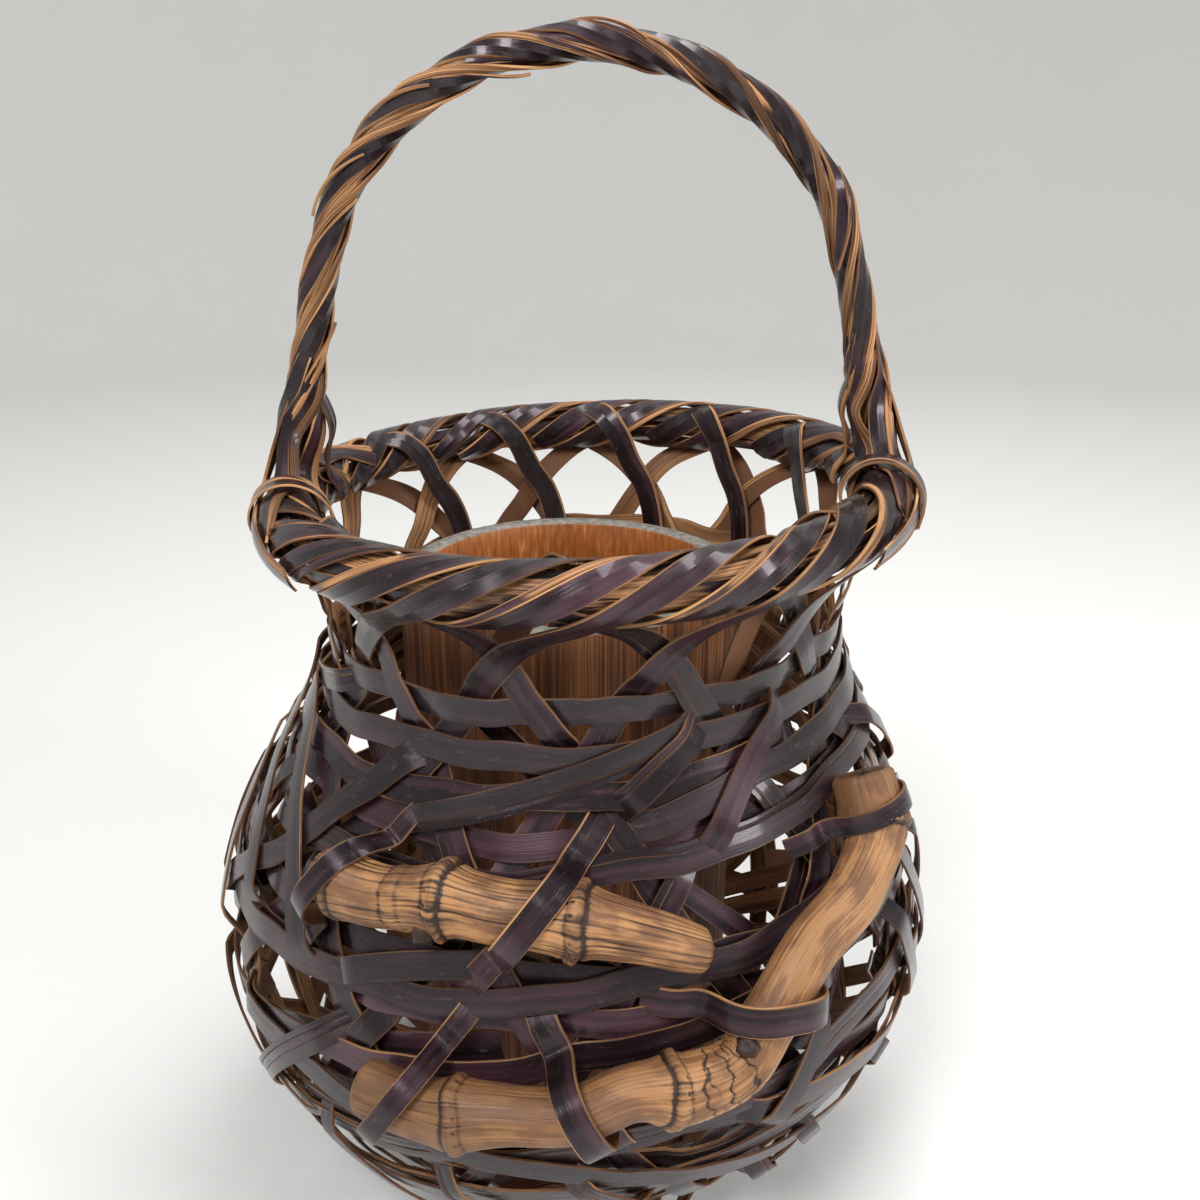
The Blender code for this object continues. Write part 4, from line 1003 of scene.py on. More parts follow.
def root_finish(colours):
    """Waxed bamboo root: golden brown, with shade painted dark into its wrinkles and scars, and
    darker in the middles of its cut ends.
    """
    shade = Shading("bamboo root")
    mix, times, between = shade.mix, shade.times, shade.between
    dark, light = colours.root_dark, colours.root_light
    place = shade.attribute("root_place")
    streaks = shade.grain(place, (12, 620, 1), 4.0, 0.6)
    cloud = shade.grain(place, (60, 90, 1))
    fleck = shade.grain(place, (260, 1400, 1))
    tone = shade.blended(streaks, 0.38, cloud, 0.62)
    colour = shade.ramp(
        tone, (0.33, dark, 0.8), (0.45, dark, 1), (0.55, light, 1), (0.70, light, 1.25)
    )
    bloom = between(shade.grain(place, (30, 46, 1), 2.0, shift=(3, 1, 0)), 0.52, 0.70)
    colour = mix(times(bloom, 0.5), colour, toned(colours.root_purple))
    uneven = times(shade.minus(cloud, 0.5), 0.9)
    aged = between(shade.plus(shade.attribute("aged", "Fac"), uneven), 0.25, 0.95)
    colour = mix(aged, colour, mix(0.35, toned(dark, 0.42), colour))
    # Painted shade: dark brown in the wrinkles, grooves, scar pits and creases, and on the cut ends
    colour = mix(between(shade.attribute("shade_and_cut_dark", "Fac"), 0.12, 0.85), colour, SHADE_AND_CUT_BROWN)
    return shade.finish(
        Base_Color=mix(times(between(fleck, 0.60, 0.75), 0.5), colour, FLECK_BROWN),
        Roughness=between(tone, 0.3, 0.7, 0.58, 0.42),
        Specular_IOR_Level=0.4,
        Normal=shade.bump(shade.plus(streaks, fleck), 0.35, 0.0007),
    )


def tube_finish(colours):
    """The water tube: bark-brown outside, lacquered inside, a bare grey lip."""
    shade = Shading("lacquered bamboo tube")
    dark, brown, lip_grey = colours.tube_dark, colours.tube_brown, colours.lip_grey
    lacquer, lacquer_pale = colours.lacquer, colours.lacquer_pale
    local = shade.mapped(shade.add("ShaderNodeTexCoord")["Object"], (1, 1, 1), tuple(-AXIS))
    zone = shade.attribute("zone", "Fac")
    place = shade.attribute("tube_place")
    grain = shade.grain(place, (1500, 9, 1), 4.0, 0.65)
    broad = shade.grain(place, (220, 5, 1))
    spots = shade.grain(place, (420, 70, 1), 4.0, 0.65)
    outside = shade.ramp(
        shade.blended(grain, 0.6, broad, 0.4),
        (0.34, dark, 0.5), (0.46, dark, 1), (0.56, brown, 1), (0.72, brown, 1.6),
    )
    inside = shade.ramp(
        shade.blended(spots, 0.6, shade.noise(local, 16.0), 0.4),
        (0.34, lacquer, 0.35), (0.46, lacquer, 0.7), (0.56, lacquer, 1), (0.68, lacquer_pale, 1),
    )
    lip = shade.ramp(
        shade.noise(local, 260.0, 4.0, 0.7),
        (0.30, lip_grey, 0.35), (0.50, lip_grey, 1), (0.70, lip_grey, 1.5),
    )
    colour = shade.mix(shade.between(zone, 0.3, 0.7), outside, lip)
    return shade.finish(
        Base_Color=shade.mix(shade.between(zone, 1.3, 1.7), colour, inside),
        Roughness=shade.between(zone, 1.3, 1.7, 0.62, 0.38),
        Normal=shade.bump(shade.plus(shade.times(grain, 0.8), spots), 0.5, 0.0009),
    )


def floor_finish(colours):
    """The pale floor and backdrop."""
    shade = Shading("pale floor")
    tone = shade.noise(shade.add("ShaderNodeTexCoord")["Object"], 3.0, 2.0)
    colour = shade.ramp(tone, (0.3, colours.floor, 0.985), (0.7, colours.floor, 1))
    return shade.finish(Base_Color=colour, Roughness=0.75, Specular_IOR_Level=0.2)


# ------------------------------------------------------------- properties

def length(name, description, default):
    """A length that the user may change."""
    return bpy.props.FloatProperty(
        name=name, description=description, default=default, min=0.0, unit="LENGTH", precision=5
    )


def tint(name, description, default):
    """A colour that the user may change."""
    return bpy.props.FloatVectorProperty(
        name=name, description=description, default=default, size=3, min=0.0, max=1.0,
        subtype="COLOR",
    )


class BasketSizes(bpy.types.PropertyGroup):
    """Sizes of the basket's strips and of its finer shapes"""

    strip_width: length("Strip width", "Width of a split bamboo strip", 0.0112)
    strip_thickness: length("Strip thickness", "Thickness of a strip", 0.00115)
    skin_arch: length("Skin arch", "How far a strip's skin rises in its middle", 0.00012)
    edge_rounding: length("Edge rounding", "Radius of a strip's long edges", 0.00024)
    weave_relief: length("Weave relief", "How far a strip rises over another one", 0.00135)
    wander: length("Wander", "How far a strip strays to the side", 0.0022)
    wrinkle_depth: length("Wrinkle depth", "Depth of the wrinkles of the root pieces", 0.00034)
    tube_radius: length(
        "Tube radius", "Outer radius of the water tube", float(TUBE_HIGH[0] - TUBE_LOW[0]) / 2
    )
    tube_wall: length("Tube wall", "Wall thickness of the water tube", 0.0090)
    tube_floor: length("Tube floor", "Thickness of the water tube's floor", 0.0100)


class BasketColours(bpy.types.PropertyGroup):
    """Colours of the basket's finishes"""

    skin_dark: tint("Dark skin", "The dark of the smoked skin", (0.0105, 0.0060, 0.0072))
    skin_warm: tint("Warm skin", "The purple brown of the smoked skin", (0.0450, 0.0185, 0.0255))
    skin_grey: tint("Dusty skin", "The grey of skin without gloss", (0.0250, 0.0232, 0.0225))
    tan_dark: tint("Dark pith", "The darker brown of the bare edges", (0.215, 0.098, 0.046))
    tan_light: tint("Light pith", "The lighter tan of the bare edges", (0.56, 0.295, 0.125))
    dust: tint("Dust", "Dust lying on the strips", (0.12, 0.10, 0.085))
    root_light: tint("Light root", "The gold of the root pieces", (0.450, 0.225, 0.090))
    root_dark: tint("Dark root", "The brown of the root pieces", (0.220, 0.100, 0.044))
    root_purple: tint("Root bloom", "The purple brown bloom on the roots", (0.175, 0.095, 0.070))
    tube_brown: tint("Tube brown", "The brown of the tube's outside", (0.31, 0.122, 0.042))
    tube_dark: tint("Tube grain", "The dark grain of the tube's outside", (0.105, 0.037, 0.015))
    lacquer: tint("Lacquer", "The lacquer inside the tube", (0.42, 0.135, 0.030))
    lacquer_pale: tint("Worn lacquer", "Worn places of the lacquer", (0.62, 0.33, 0.12))
    lip_grey: tint("Tube lip", "The bare grey lip of the tube", (0.20, 0.185, 0.16))
    floor: tint("Floor", "The pale floor and backdrop", (0.80, 0.80, 0.79))


# ----------------------------------------------------------------- pieces

# The strips' node tree, and the finish of each material slot and of the floor
SHARED = {}
BUNDLE_BARENESS = 0.22


def prepared(context):
    """The basket's sizes, once the node tree and the finishes have been made."""
    sizes, colours = context.scene.basket_sizes, context.scene.basket_colours
    if not SHARED:
        SHARED.update(
            strips=strip_tree(sizes),
            dark_bamboo=strip_finish("smoked bamboo skin", colours, 0.0),
            tan_bamboo=strip_finish("bare split bamboo", colours, BUNDLE_BARENESS),
            bamboo_root=root_finish(colours),
            lacquered_tube=tube_finish(colours),
            floor=floor_finish(colours),
        )
    return sizes


def placed(name, data):
    """A new object of the scene."""
    thing = bpy.data.objects.new(name, data)
    bpy.context.scene.collection.objects.link(thing)
    return thing


def settle(thing, node=None, body="basket"):
    """Hang a finished piece on what it rides on, and hide the part that it stands for."""
    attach(thing, body)
    if node is not None:
        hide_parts(node)


def set_attribute(mesh, name, values):
    """Keep one number or vector for each point of a mesh."""
    values = np.array(values, np.float32)
    kind, key = ("FLOAT", "value") if values.ndim == 1 else ("FLOAT_VECTOR", "vector")
    mesh.attributes.new(name, kind, "POINT").data.foreach_set(key, values.ravel())


def turn_faces_outward(mesh):
    """Make every closed shell of a mesh face outward."""
    shape = bmesh.new()
    shape.from_mesh(mesh)
    bmesh.ops.recalc_face_normals(shape, faces=shape.faces)
    shape.to_mesh(mesh)
    shape.free()


def line_mesh(name, strands):
    """A mesh of lines, one for each strand, holding what the node tree reads."""
    edges = []
    start = 0
    for strand in strands:
        end = start + len(strand["middle"])
        edges.extend((point, point + 1) for point in range(start, end - 1))
        start = end
    values = {key: np.concatenate([strand[key] for strand in strands]) for key in strands[0]}
    mesh = bpy.data.meshes.new(name)
    mesh.from_pydata((values.pop("middle") + AXIS).tolist(), edges, [])
    for key, column in values.items():
        set_attribute(mesh, key, column)
    return mesh


def lay_strips(name, strands, slot_name="dark_bamboo", node=None):
    """One finished piece made from strands by the node tree."""
    finish = SHARED[slot_name]
    thing = placed(name, line_mesh(name, strands))
    modifier = thing.modifiers.new("strips", "NODES")
    modifier.node_group = SHARED["strips"]
    for item in modifier.node_group.interface.items_tree:
        if item.in_out == "INPUT" and item.name == "Finish":
            modifier[item.identifier] = finish
    depsgraph = bpy.context.evaluated_depsgraph_get()
    made = bpy.data.meshes.new_from_object(
        thing.evaluated_get(depsgraph), preserve_all_data_layers=True, depsgraph=depsgraph
    )
    thing.modifiers.remove(modifier)
    thing.data = made
    turn_faces_outward(made)
    if not made.materials or made.materials[0] is None:
        made.materials.clear()
        made.materials.append(finish)
    if len(made.polygons) == 0:
        raise RuntimeError(f"{name} came out empty")
    settle(thing, node)


def lay_node(node, strands):
    """The dark strips that stand for a node."""
    lay_strips(f"{node}_strip", strands, node=node)


def solid_piece(name, stacks, attributes, slot_name, node, body):
    """One finished smooth piece from closed stacks of rings."""
    faces = []
    first = 0
    for rings in stacks:
        rows, sides = rings.shape[:2]
        last = first + (rows - 1) * sides
        faces += ring_faces(rows, sides, first)
        faces += [tuple(range(first, first + sides)), tuple(range(last, last + sides))]
        first = last + sides
    mesh = bpy.data.meshes.new(name)
    verts = np.concatenate([rings.reshape(-1, 3) for rings in stacks])
    mesh.from_pydata(verts.tolist(), [], faces)
    for key, values in attributes.items():
        set_attribute(mesh, key, values)
    turn_faces_outward(mesh)
    mesh.shade_smooth()
    mesh.materials.append(SHARED[slot_name])
    settle(placed(name, mesh), node, body)


# -------------------------------------------------------- the woven strips

class BASKET_OT_stakes(bpy.types.Operator):
    """Weave the long strips that cross the base and rise to the rim"""

    bl_idname = "basket.stakes"
    bl_label = "Stakes"

    def execute(self, context):
        sizes = prepared(context)
        for index, (angle, offset) in enumerate(BASE_STRIPS):
            chance = np.random.default_rng(100 + index)
            (left_angles, left_places), (right_angles, right_places) = (
                LEFT_ENDS[index], RIGHT_ENDS[index]
            )
            reach = math.sqrt(EVENING_START**2 - offset**2)
            along = np.arange(-reach, reach, LINE_STEP)[1:]
            flat_angles = angle + np.degrees(np.arctan2(along, offset))
            points, outward = on_body(
                np.concatenate((left_angles[::-1], flat_angles, right_angles)),
                np.concatenate((left_places[::-1], np.hypot(offset, along), right_places)),
            )
            lengths = lengths_along(points)
            left, flat, right = np.split(lengths, (len(left_places), -len(right_places)))
            hits = [(lengths[-1] - LAST_OVER_FROM_END, 1)]
            for marks, known, travelled in (
                (LEFT_HITS[index], left_places, left[::-1]),
                (base_crossings(angle, offset), along, flat),
                (RIGHT_HITS[index], right_places, right),
            ):
                hits += [(np.interp(place, known, travelled), side) for place, side in marks]
            line, facing = woven_line(points, outward, hits, sizes.weave_relief)
            throat, touch = np.interp((THROAT_PLACE, RIM_TOUCH_PLACE), right_places, right)
            line = wandered(line, facing, sizes.wander * 0.6, chance, calm_after=throat)
            on_roll = smooth_share((lengths_along(line) - touch) / RIM_CURL_EASE)
            strands = strands_of(
                leaned(line), facing, sizes.strip_width, chance, usual_parts(chance),
                ragged=0.003, part_after=throat, bare_edge=0.04, curl=RIM_CURL * on_roll,
                stained=0.5,
            )
            lay_node(f"stake_{index + 1:02d}", strands)
        return {"FINISHED"}


class BASKET_OT_weavers(bpy.types.Operator):
    """Run the weavers round the body, their ends lapped at the back"""

    bl_idname = "basket.weavers"
    bl_label = "Weavers"

    def execute(self, context):
        sizes = prepared(context)
        for index, marks in enumerate(HOOP_HITS):
            chance = np.random.default_rng(200 + index)
            start = HOOP_START_ANGLE + HOOP_START_STEP_ANGLE * (index % 3)
            end = start + FULL_TURN + HOOP_LAP_ANGLE
            angles = np.arange(start, end, HOOP_ANGLE_STEP)
            points, outward = on_body(angles, hoop_line(index, angles))
            lengths = lengths_along(points)
            hits = [
                (np.interp(angle, angles, lengths), side)
                for mark, side in marks for angle in (mark, mark + FULL_TURN)
                if start <= angle <= end
            ]
            line, facing = woven_line(points, outward, hits, sizes.weave_relief)
            places = lengths_along(line)
            in_lap = (places - places[-1] + HOOP_LAP_LENGTH) / HOOP_LAP_EASE
            tuck = HOOP_LAP_TUCK * smooth_share(in_lap)
            line = wandered(line - facing * tuck[:, None], facing, sizes.wander * 0.8, chance)
            strands = strands_of(
                leaned(line), facing, sizes.strip_width, chance, usual_parts(chance),
                ragged=0.006, stained=chance.uniform(0.6, 1.0),
            )
            lay_node(f"weaver_{index + 1:02d}", strands)
        return {"FINISHED"}


class BASKET_OT_outer_weavers(bpy.types.Operator):
    """Lay the outermost weavers over the others"""

    bl_idname = "basket.outer_weavers"
    bl_label = "Outer weavers"

    def execute(self, context):
        sizes = prepared(context)
        for index, row in enumerate(OUTER_WEAVERS):
            chance = np.random.default_rng(300 + index)
            places, points, facing = resampled(*on_body(*outer_track(*row)), BODY_STEP)
            lift = OUTER_CLEARANCE + row[-1] * LAYER_STEP
            lift = lift + OUTER_UNEVENNESS * waver(places, OUTER_WAVER_LENGTH, chance)
            line = points + facing * tucked(places, lift)
            line = wandered(line, facing, sizes.wander, chance)
            strands = strands_of(
                leaned(line), facing, sizes.strip_width, chance, usual_parts(chance),
                ragged=0.007, stained=chance.uniform(0.5, 1.0),
            )
            lay_node(f"overlay_{index + 1:02d}", strands)
        return {"FINISHED"}


# -------------------------------------------------------- the loose strips

def loose_line(chance, shortest, longest, flattest, steepest):
    """Angles and distances up the section along one loose strip."""
    length_wanted = chance.uniform(shortest, longest)
    heading = chance.uniform(flattest, steepest) * (1 if chance.uniform(0, 1) < 0.5 else -1)
    bow = chance.uniform(-LOOSE_BOW_ANGLE, LOOSE_BOW_ANGLE)
    angle = chance.uniform(0, FULL_TURN)
    place = place_at_height(chance.uniform(LOOSE_LOW_SHARE, LOOSE_HIGH_SHARE) * RIM_HEIGHT)
    lowest, highest = place_at_height(np.array((LOOSE_LOW_SHARE, LOOSE_HIGH_SHARE)) * RIM_HEIGHT)
    line = [(angle, place)]
    count = round(length_wanted / LOOSE_STEP)
    for step in range(count):
        slope = math.radians(heading + bow * (step / count - 0.5))
        place += LOOSE_STEP * math.sin(slope)
        angle += math.degrees(LOOSE_STEP * math.cos(slope) / section_at(place)[0])
        if not lowest < place < highest:
            break
        line.append((angle, place))
    return np.array(line).T


def nearest_gap(points, others):
    """Least distance between two sets of points."""
    apart = points[::3, None, :] - others[None, ::3, :]
    return np.sqrt((apart**2).sum(axis=2)).min()


def loose_lines(count, nearest, layer_count, shortest, limits, seed, taken):
    """Loose strips, each in the lowest layer where it meets no other one."""
    chance = np.random.default_rng(seed)
    roots = [on_body(*root_track(row))[0] for row in (UPPER_PLACES, BENT_PLACES)]
    layers = [list(taken)] + [[] for _ in range(layer_count - 1)]
    made = []
    for _ in range(count * LOOSE_TRIES):
        if len(made) == count:
            break
        angles, places = loose_line(chance, shortest, *limits)
        if len(angles) < shortest / LOOSE_STEP:
            continue
        points, facing = on_body(angles, places)
        if nearest > 0 and any(nearest_gap(points, root) < ROOT_KEEP_CLEAR for root in roots):
            continue
        for index, layer in enumerate(layers):
            if all(nearest_gap(points, other) > LOOSE_CLEARANCE for other in layer):
                layer.append(points)
                made.append((points, facing, nearest - index * LAYER_STEP))
                break
    return made


class BASKET_OT_loose_strips(bpy.types.Operator):
    """Push loose strips into the weave, outside and inside"""

    bl_idname = "basket.loose_strips"
    bl_label = "Loose strips"

    def execute(self, context):
        sizes = prepared(context)
        layered = [on_body(*outer_track(*row))[0] for row in OUTER_WEAVERS if row[-1] == 1]
        for name, count, nearest, layer_count, shortest, *limits, seed in LOOSE_KINDS:
            chance = np.random.default_rng(seed + 1)
            taken = layered if name == "shallow" else ()
            lines = loose_lines(count, nearest, layer_count, shortest, limits, seed, taken)
            strands = []
            for points, outward, lift in lines:
                places, line, facing = resampled(points, outward, BODY_STEP)
                line = line + facing * (tucked(places, lift) if lift > 0 else lift)
                strands += strands_of(
                    leaned(line), facing, sizes.strip_width * chance.uniform(0.8, 1.05), chance,
                    usual_parts(chance), ragged=0.004, bare_edge=chance.uniform(0, 0.08),
                    stained=chance.uniform(0.3, 0.95),
                )
            lay_strips(f"loose_strips_{name}", strands)
        return {"FINISHED"}


# ----------------------------------------------------------------- the rim

class BASKET_OT_rim(bpy.types.Operator):
    """Roll the rim: its core, its wound strips and the ends inside the neck"""

    bl_idname = "basket.rim"
    bl_label = "Rim"

    def execute(self, context):
        sizes = prepared(context)
        chance = np.random.default_rng(400)
        angles = np.arange(0, FULL_TURN + RIM_STEP_ANGLE, RIM_STEP_ANGLE)
        strands = []
        for index in range(RIM_CORE_STRANDS):
            turn = index * FULL_TURN / RIM_CORE_STRANDS
            roll = turn + RIM_CORE_TWIST_ANGLE * np.sin(np.radians(angles * 2 + turn))
            around_rim = np.radians(angles) * RIM_RADIUS
            uneven = RIM_CORE_UNEVENNESS * waver(around_rim, RIM_CORE_WAVER_LENGTH, chance)
            points, outward = on_rim(angles, roll, RIM_CORE_RADIUS + uneven)
            strands += strands_of(leaned(points), outward, RIM_CORE_STRAND_WIDTH, chance)
        lay_strips("rim_core_strips", strands, "tan_bamboo", "rim_core")

        roll = np.arange(-QUARTER_TURN, WINDING_SWEEP_ANGLE - QUARTER_TURN, WINDING_STEP_ANGLE)
        for number in (1, 2):
            chance = np.random.default_rng(410 + number)
            start = STAKE_START_ANGLE + (number - 0.5) * STAKE_PITCH_ANGLE
            start = start + turned_at(RIM_TOUCH_PLACE)
            angles = start + (roll - TOUCH_ANGLE) / RIM_STARTS_PER_TURN
            points, outward = on_rim(angles, roll, RIM_LINE_RADIUS)
            strands = strands_of(
                leaned(points), outward, RIM_STRIP_WIDTH, chance, (0.80, 0.20), gap=0.00030,
                lift=0.0003, bare=(0.0, 0.3), bare_edge=0.06, curl=RIM_CURL,
            )
            lay_node(f"rim_winding_{number}", strands)

        rolls, away, top_shares = np.array(TAIL_ON_RIM).T
        drops, hang_shares = np.array(TAIL_DROPS).T
        inner = RIM_RADIUS - TAIL_LINE_RADIUS - TAIL_INWARD_SHARE * drops
        for index, place_angle in enumerate(TAIL_PLACE_ANGLES):
            chance = np.random.default_rng(420 + index)
            angles = place_angle - TAIL_SWEEP_ANGLE * top_shares
            top, top_out = on_rim(angles, rolls, TAIL_LINE_RADIUS + away)
            angles = place_angle - TAIL_SWEEP_ANGLE * hang_shares
            points = np.concatenate((top, around(angles, inner, RIM_HEIGHT - drops)))
            outward = np.concatenate((top_out, around(angles, -1, 0)))
            strands = smooth_strands(
                leaned(points), outward, sizes.strip_width, chance, ragged=0.004, bare_edge=0.10
            )
            lay_node(f"tail_{index + 1}", strands)
        return {"FINISHED"}


# --------------------------------------------------------------- the handle

def handle_line():
    """Points along the middle of the handle, left foot to right foot."""
    right = np.concatenate((((RIM_RADIUS, HANDLE_FOOT_HEIGHT),), HANDLE_LEG))
    corners = np.concatenate((right * (-1, 1), ((0, HANDLE_TOP_HEIGHT),), right[::-1]))
    across, upward = rounded_curve(corners, HANDLE_SAMPLES).T
    share = (HANDLE_TOP_HEIGHT - upward) / (HANDLE_TOP_HEIGHT - HANDLE_FOOT_HEIGHT)
    return columns(across + HANDLE_SHIFT, 0, upward + across * RIM_TIP * share)


HANDLE_LINE = handle_line()
HANDLE_LENGTHS = lengths_along(HANDLE_LINE)


def wound_on_handle(places, turn_share, away):
    """A line wound round the handle and its outward directions."""
    middle = picked(places, HANDLE_LENGTHS, HANDLE_LINE)
    sideways = np.array([[0, 1.0, 0]])
    other = np.cross(directions_along(middle), sideways)
    turns = math.tau * (places / HANDLE_PITCH + turn_share)
    outward = np.cos(turns)[:, None] * sideways + np.sin(turns)[:, None] * other
    return middle + outward * np.reshape(away, (-1, 1)), outward


def rim_start(side):
    """The angle round the basket of the left (-1) or right (1) foot."""
    return QUARTER_TURN - side * QUARTER_TURN


def foot_line(side, from_angle, drifts, rolls):
    """A strip that leaves the handle's foot and lies down on the rim."""
    places = FOOT_HEIGHTS if side < 0 else HANDLE_LENGTHS[-1] - FOOT_HEIGHTS
    middle = picked(places, HANDLE_LENGTHS, HANDLE_LINE)
    twist = -side * FULL_TURN / HANDLE_PITCH * (FOOT_HEIGHTS - FOOT_HEIGHTS[-1])
    facing = around(from_angle + twist, 1, 0) * (side, -1, 1)
    low, low_out = on_rim(
        rim_start(side) - side * np.array(drifts), rolls, RIM_LINE_RADIUS + LAYER_STEP
    )
    high = middle + facing * FOOT_AWAY[:, None]
    return np.concatenate((high, leaned(low))), np.concatenate((facing, low_out))


def strand_line(side, sense, drifts, rolls, drawn_in, side_steps):
    """A handle strand that comes down outside or inside the rim and lies on it."""
    low, low_out = on_rim(rim_start(side) - side * np.array(drifts), rolls, STRAND_LINE_RADIUS)
    low_half_width, low_height = HANDLE_LEG[0]
    widths = low_half_width + sense * (STRAND_REACH - np.array(drawn_in))
    heights = low_height + STRAND_REACH * np.array((1, -1))
    high = leaned(columns(side * widths, side_steps, heights))
    high_out = np.array([[side * sense, 0, 0]] * 2)
    return np.concatenate((high, leaned(low))), np.concatenate((high_out, low_out))


def band_line(side):
    """A wide strip bent over the rim beside the handle's foot."""
    roll = np.linspace(*BAND_ROLL_ANGLES, 11)
    drift = np.linspace(-BAND_DRIFT_ANGLE, BAND_DRIFT_ANGLE, len(roll))
    angles = rim_start(side) - side * BAND_PLACE_ANGLE + drift
    points, outward = on_rim(angles, roll, BAND_LINE_RADIUS)
    return leaned(points), outward


class BASKET_OT_handle(bpy.types.Operator):
    """Twist the hoop handle and bind its feet to the rim"""

    bl_idname = "basket.handle"
    bl_label = "Handle"

    def execute(self, context):
        prepared(context)
        core = HANDLE_CORE_RADIUS - HANDLE_DRAWN_IN
        start, end = HANDLE_STRIP_INSET, HANDLE_LENGTHS[-1] - HANDLE_STRIP_INSET
        places = np.linspace(start, end, round((end - start) / HANDLE_STEP) + 1)
        strands = []
        for index in range(HANDLE_CORE_STRANDS):
            chance = np.random.default_rng(500 + index)
            slow = chance.uniform(*HANDLE_CORE_WAVER_LENGTHS)
            away = core + HANDLE_CORE_UNEVENNESS * waver(places, slow, chance)
            points, outward = wound_on_handle(places, (index + 0.5) / HANDLE_CORE_STRANDS, away)
            strands += strands_of(
                points, outward, HANDLE_CORE_STRAND_WIDTH, chance, curl=HANDLE_CURL
            )
        lay_strips("handle_core_strips", strands, "tan_bamboo", "handle_core")

        for index, width in enumerate(HANDLE_STRIP_WIDTHS):
            chance = np.random.default_rng(511 + index)
            uneven = np.clip(waver(places, HANDLE_STRIP_WAVER_LENGTH, chance), -0.2, 1)
            uneven = HANDLE_STRIP_UNEVENNESS * uneven
            points, outward = wound_on_handle(
                places, index / len(HANDLE_STRIP_WIDTHS), core + HANDLE_STRIP_LIFT + uneven
            )
            across = np.cross(directions_along(points), outward)
            facing = outward * math.cos(HANDLE_STRIP_TILT) + across * math.sin(HANDLE_STRIP_TILT)
            strands = strands_of(
                points, facing, width, chance, (0.74, 0.26), gap=0.0004, lift=0.0004,
                bare=(0.0, 0.35), curl=HANDLE_CURL * 1.25,
            )
            lay_node(f"handle_strip_{index + 1}", strands)

        for side_name, side in (("left", -1), ("right", 1)):
            chance = np.random.default_rng(520 + side)
            look = {"gap": 0.0004, "bare": (0.0, 0.3), "bare_edge": 0.06}
            for kind, row in HANDLE_STRANDS.items():
                strands = smooth_strands(
                    *strand_line(side, *row), STRAND_WIDTH, chance, parts=(0.68, 0.32),
                    curl=FOOT_CURL, **look,
                )
                lay_node(f"handle_{kind}_{side_name}", strands)
            strands = smooth_strands(
                *band_line(side), BAND_WIDTH, chance, parts=(0.68, 0.32), **look
            )
            lay_node(f"handle_band_{side_name}", strands)
            strands = []
            for *row, width in FOOT_STRIPS:
                strands += smooth_strands(
                    *foot_line(side, *row), width, chance, parts=(0.62, 0.38), gap=0.0004,
                    bare=(0.0, 0.4), ragged=0.006, curl=FOOT_CURL,
                )
            lay_strips(f"handle_foot_{side_name}_strips", strands)

        chance = np.random.default_rng(530)
        strands = []
        for _ in range(SLIVERS):
            points, outward = wound_on_handle(
                places, chance.uniform(0, 1), HANDLE_CORE_RADIUS + 0.0004
            )
            first = round(chance.uniform(0.05, 0.85) * len(points))
            count = max(6, round(chance.uniform(0.018, 0.045) / HANDLE_STEP))
            points, outward = points[first:first + count], outward[first:first + count]
            free = smooth_share(np.linspace(0, 1, len(points))) * chance.uniform(0.0004, 0.0020)
            strands += strands_of(
                points + outward * free[:, None], outward, chance.uniform(0.0007, 0.0015), chance,
                bare=(chance.uniform(0, 0.4),),
            )
        lay_strips("handle_slivers", strands, "tan_bamboo")
        return {"FINISHED"}


# ------------------------------------------------------- the root pieces

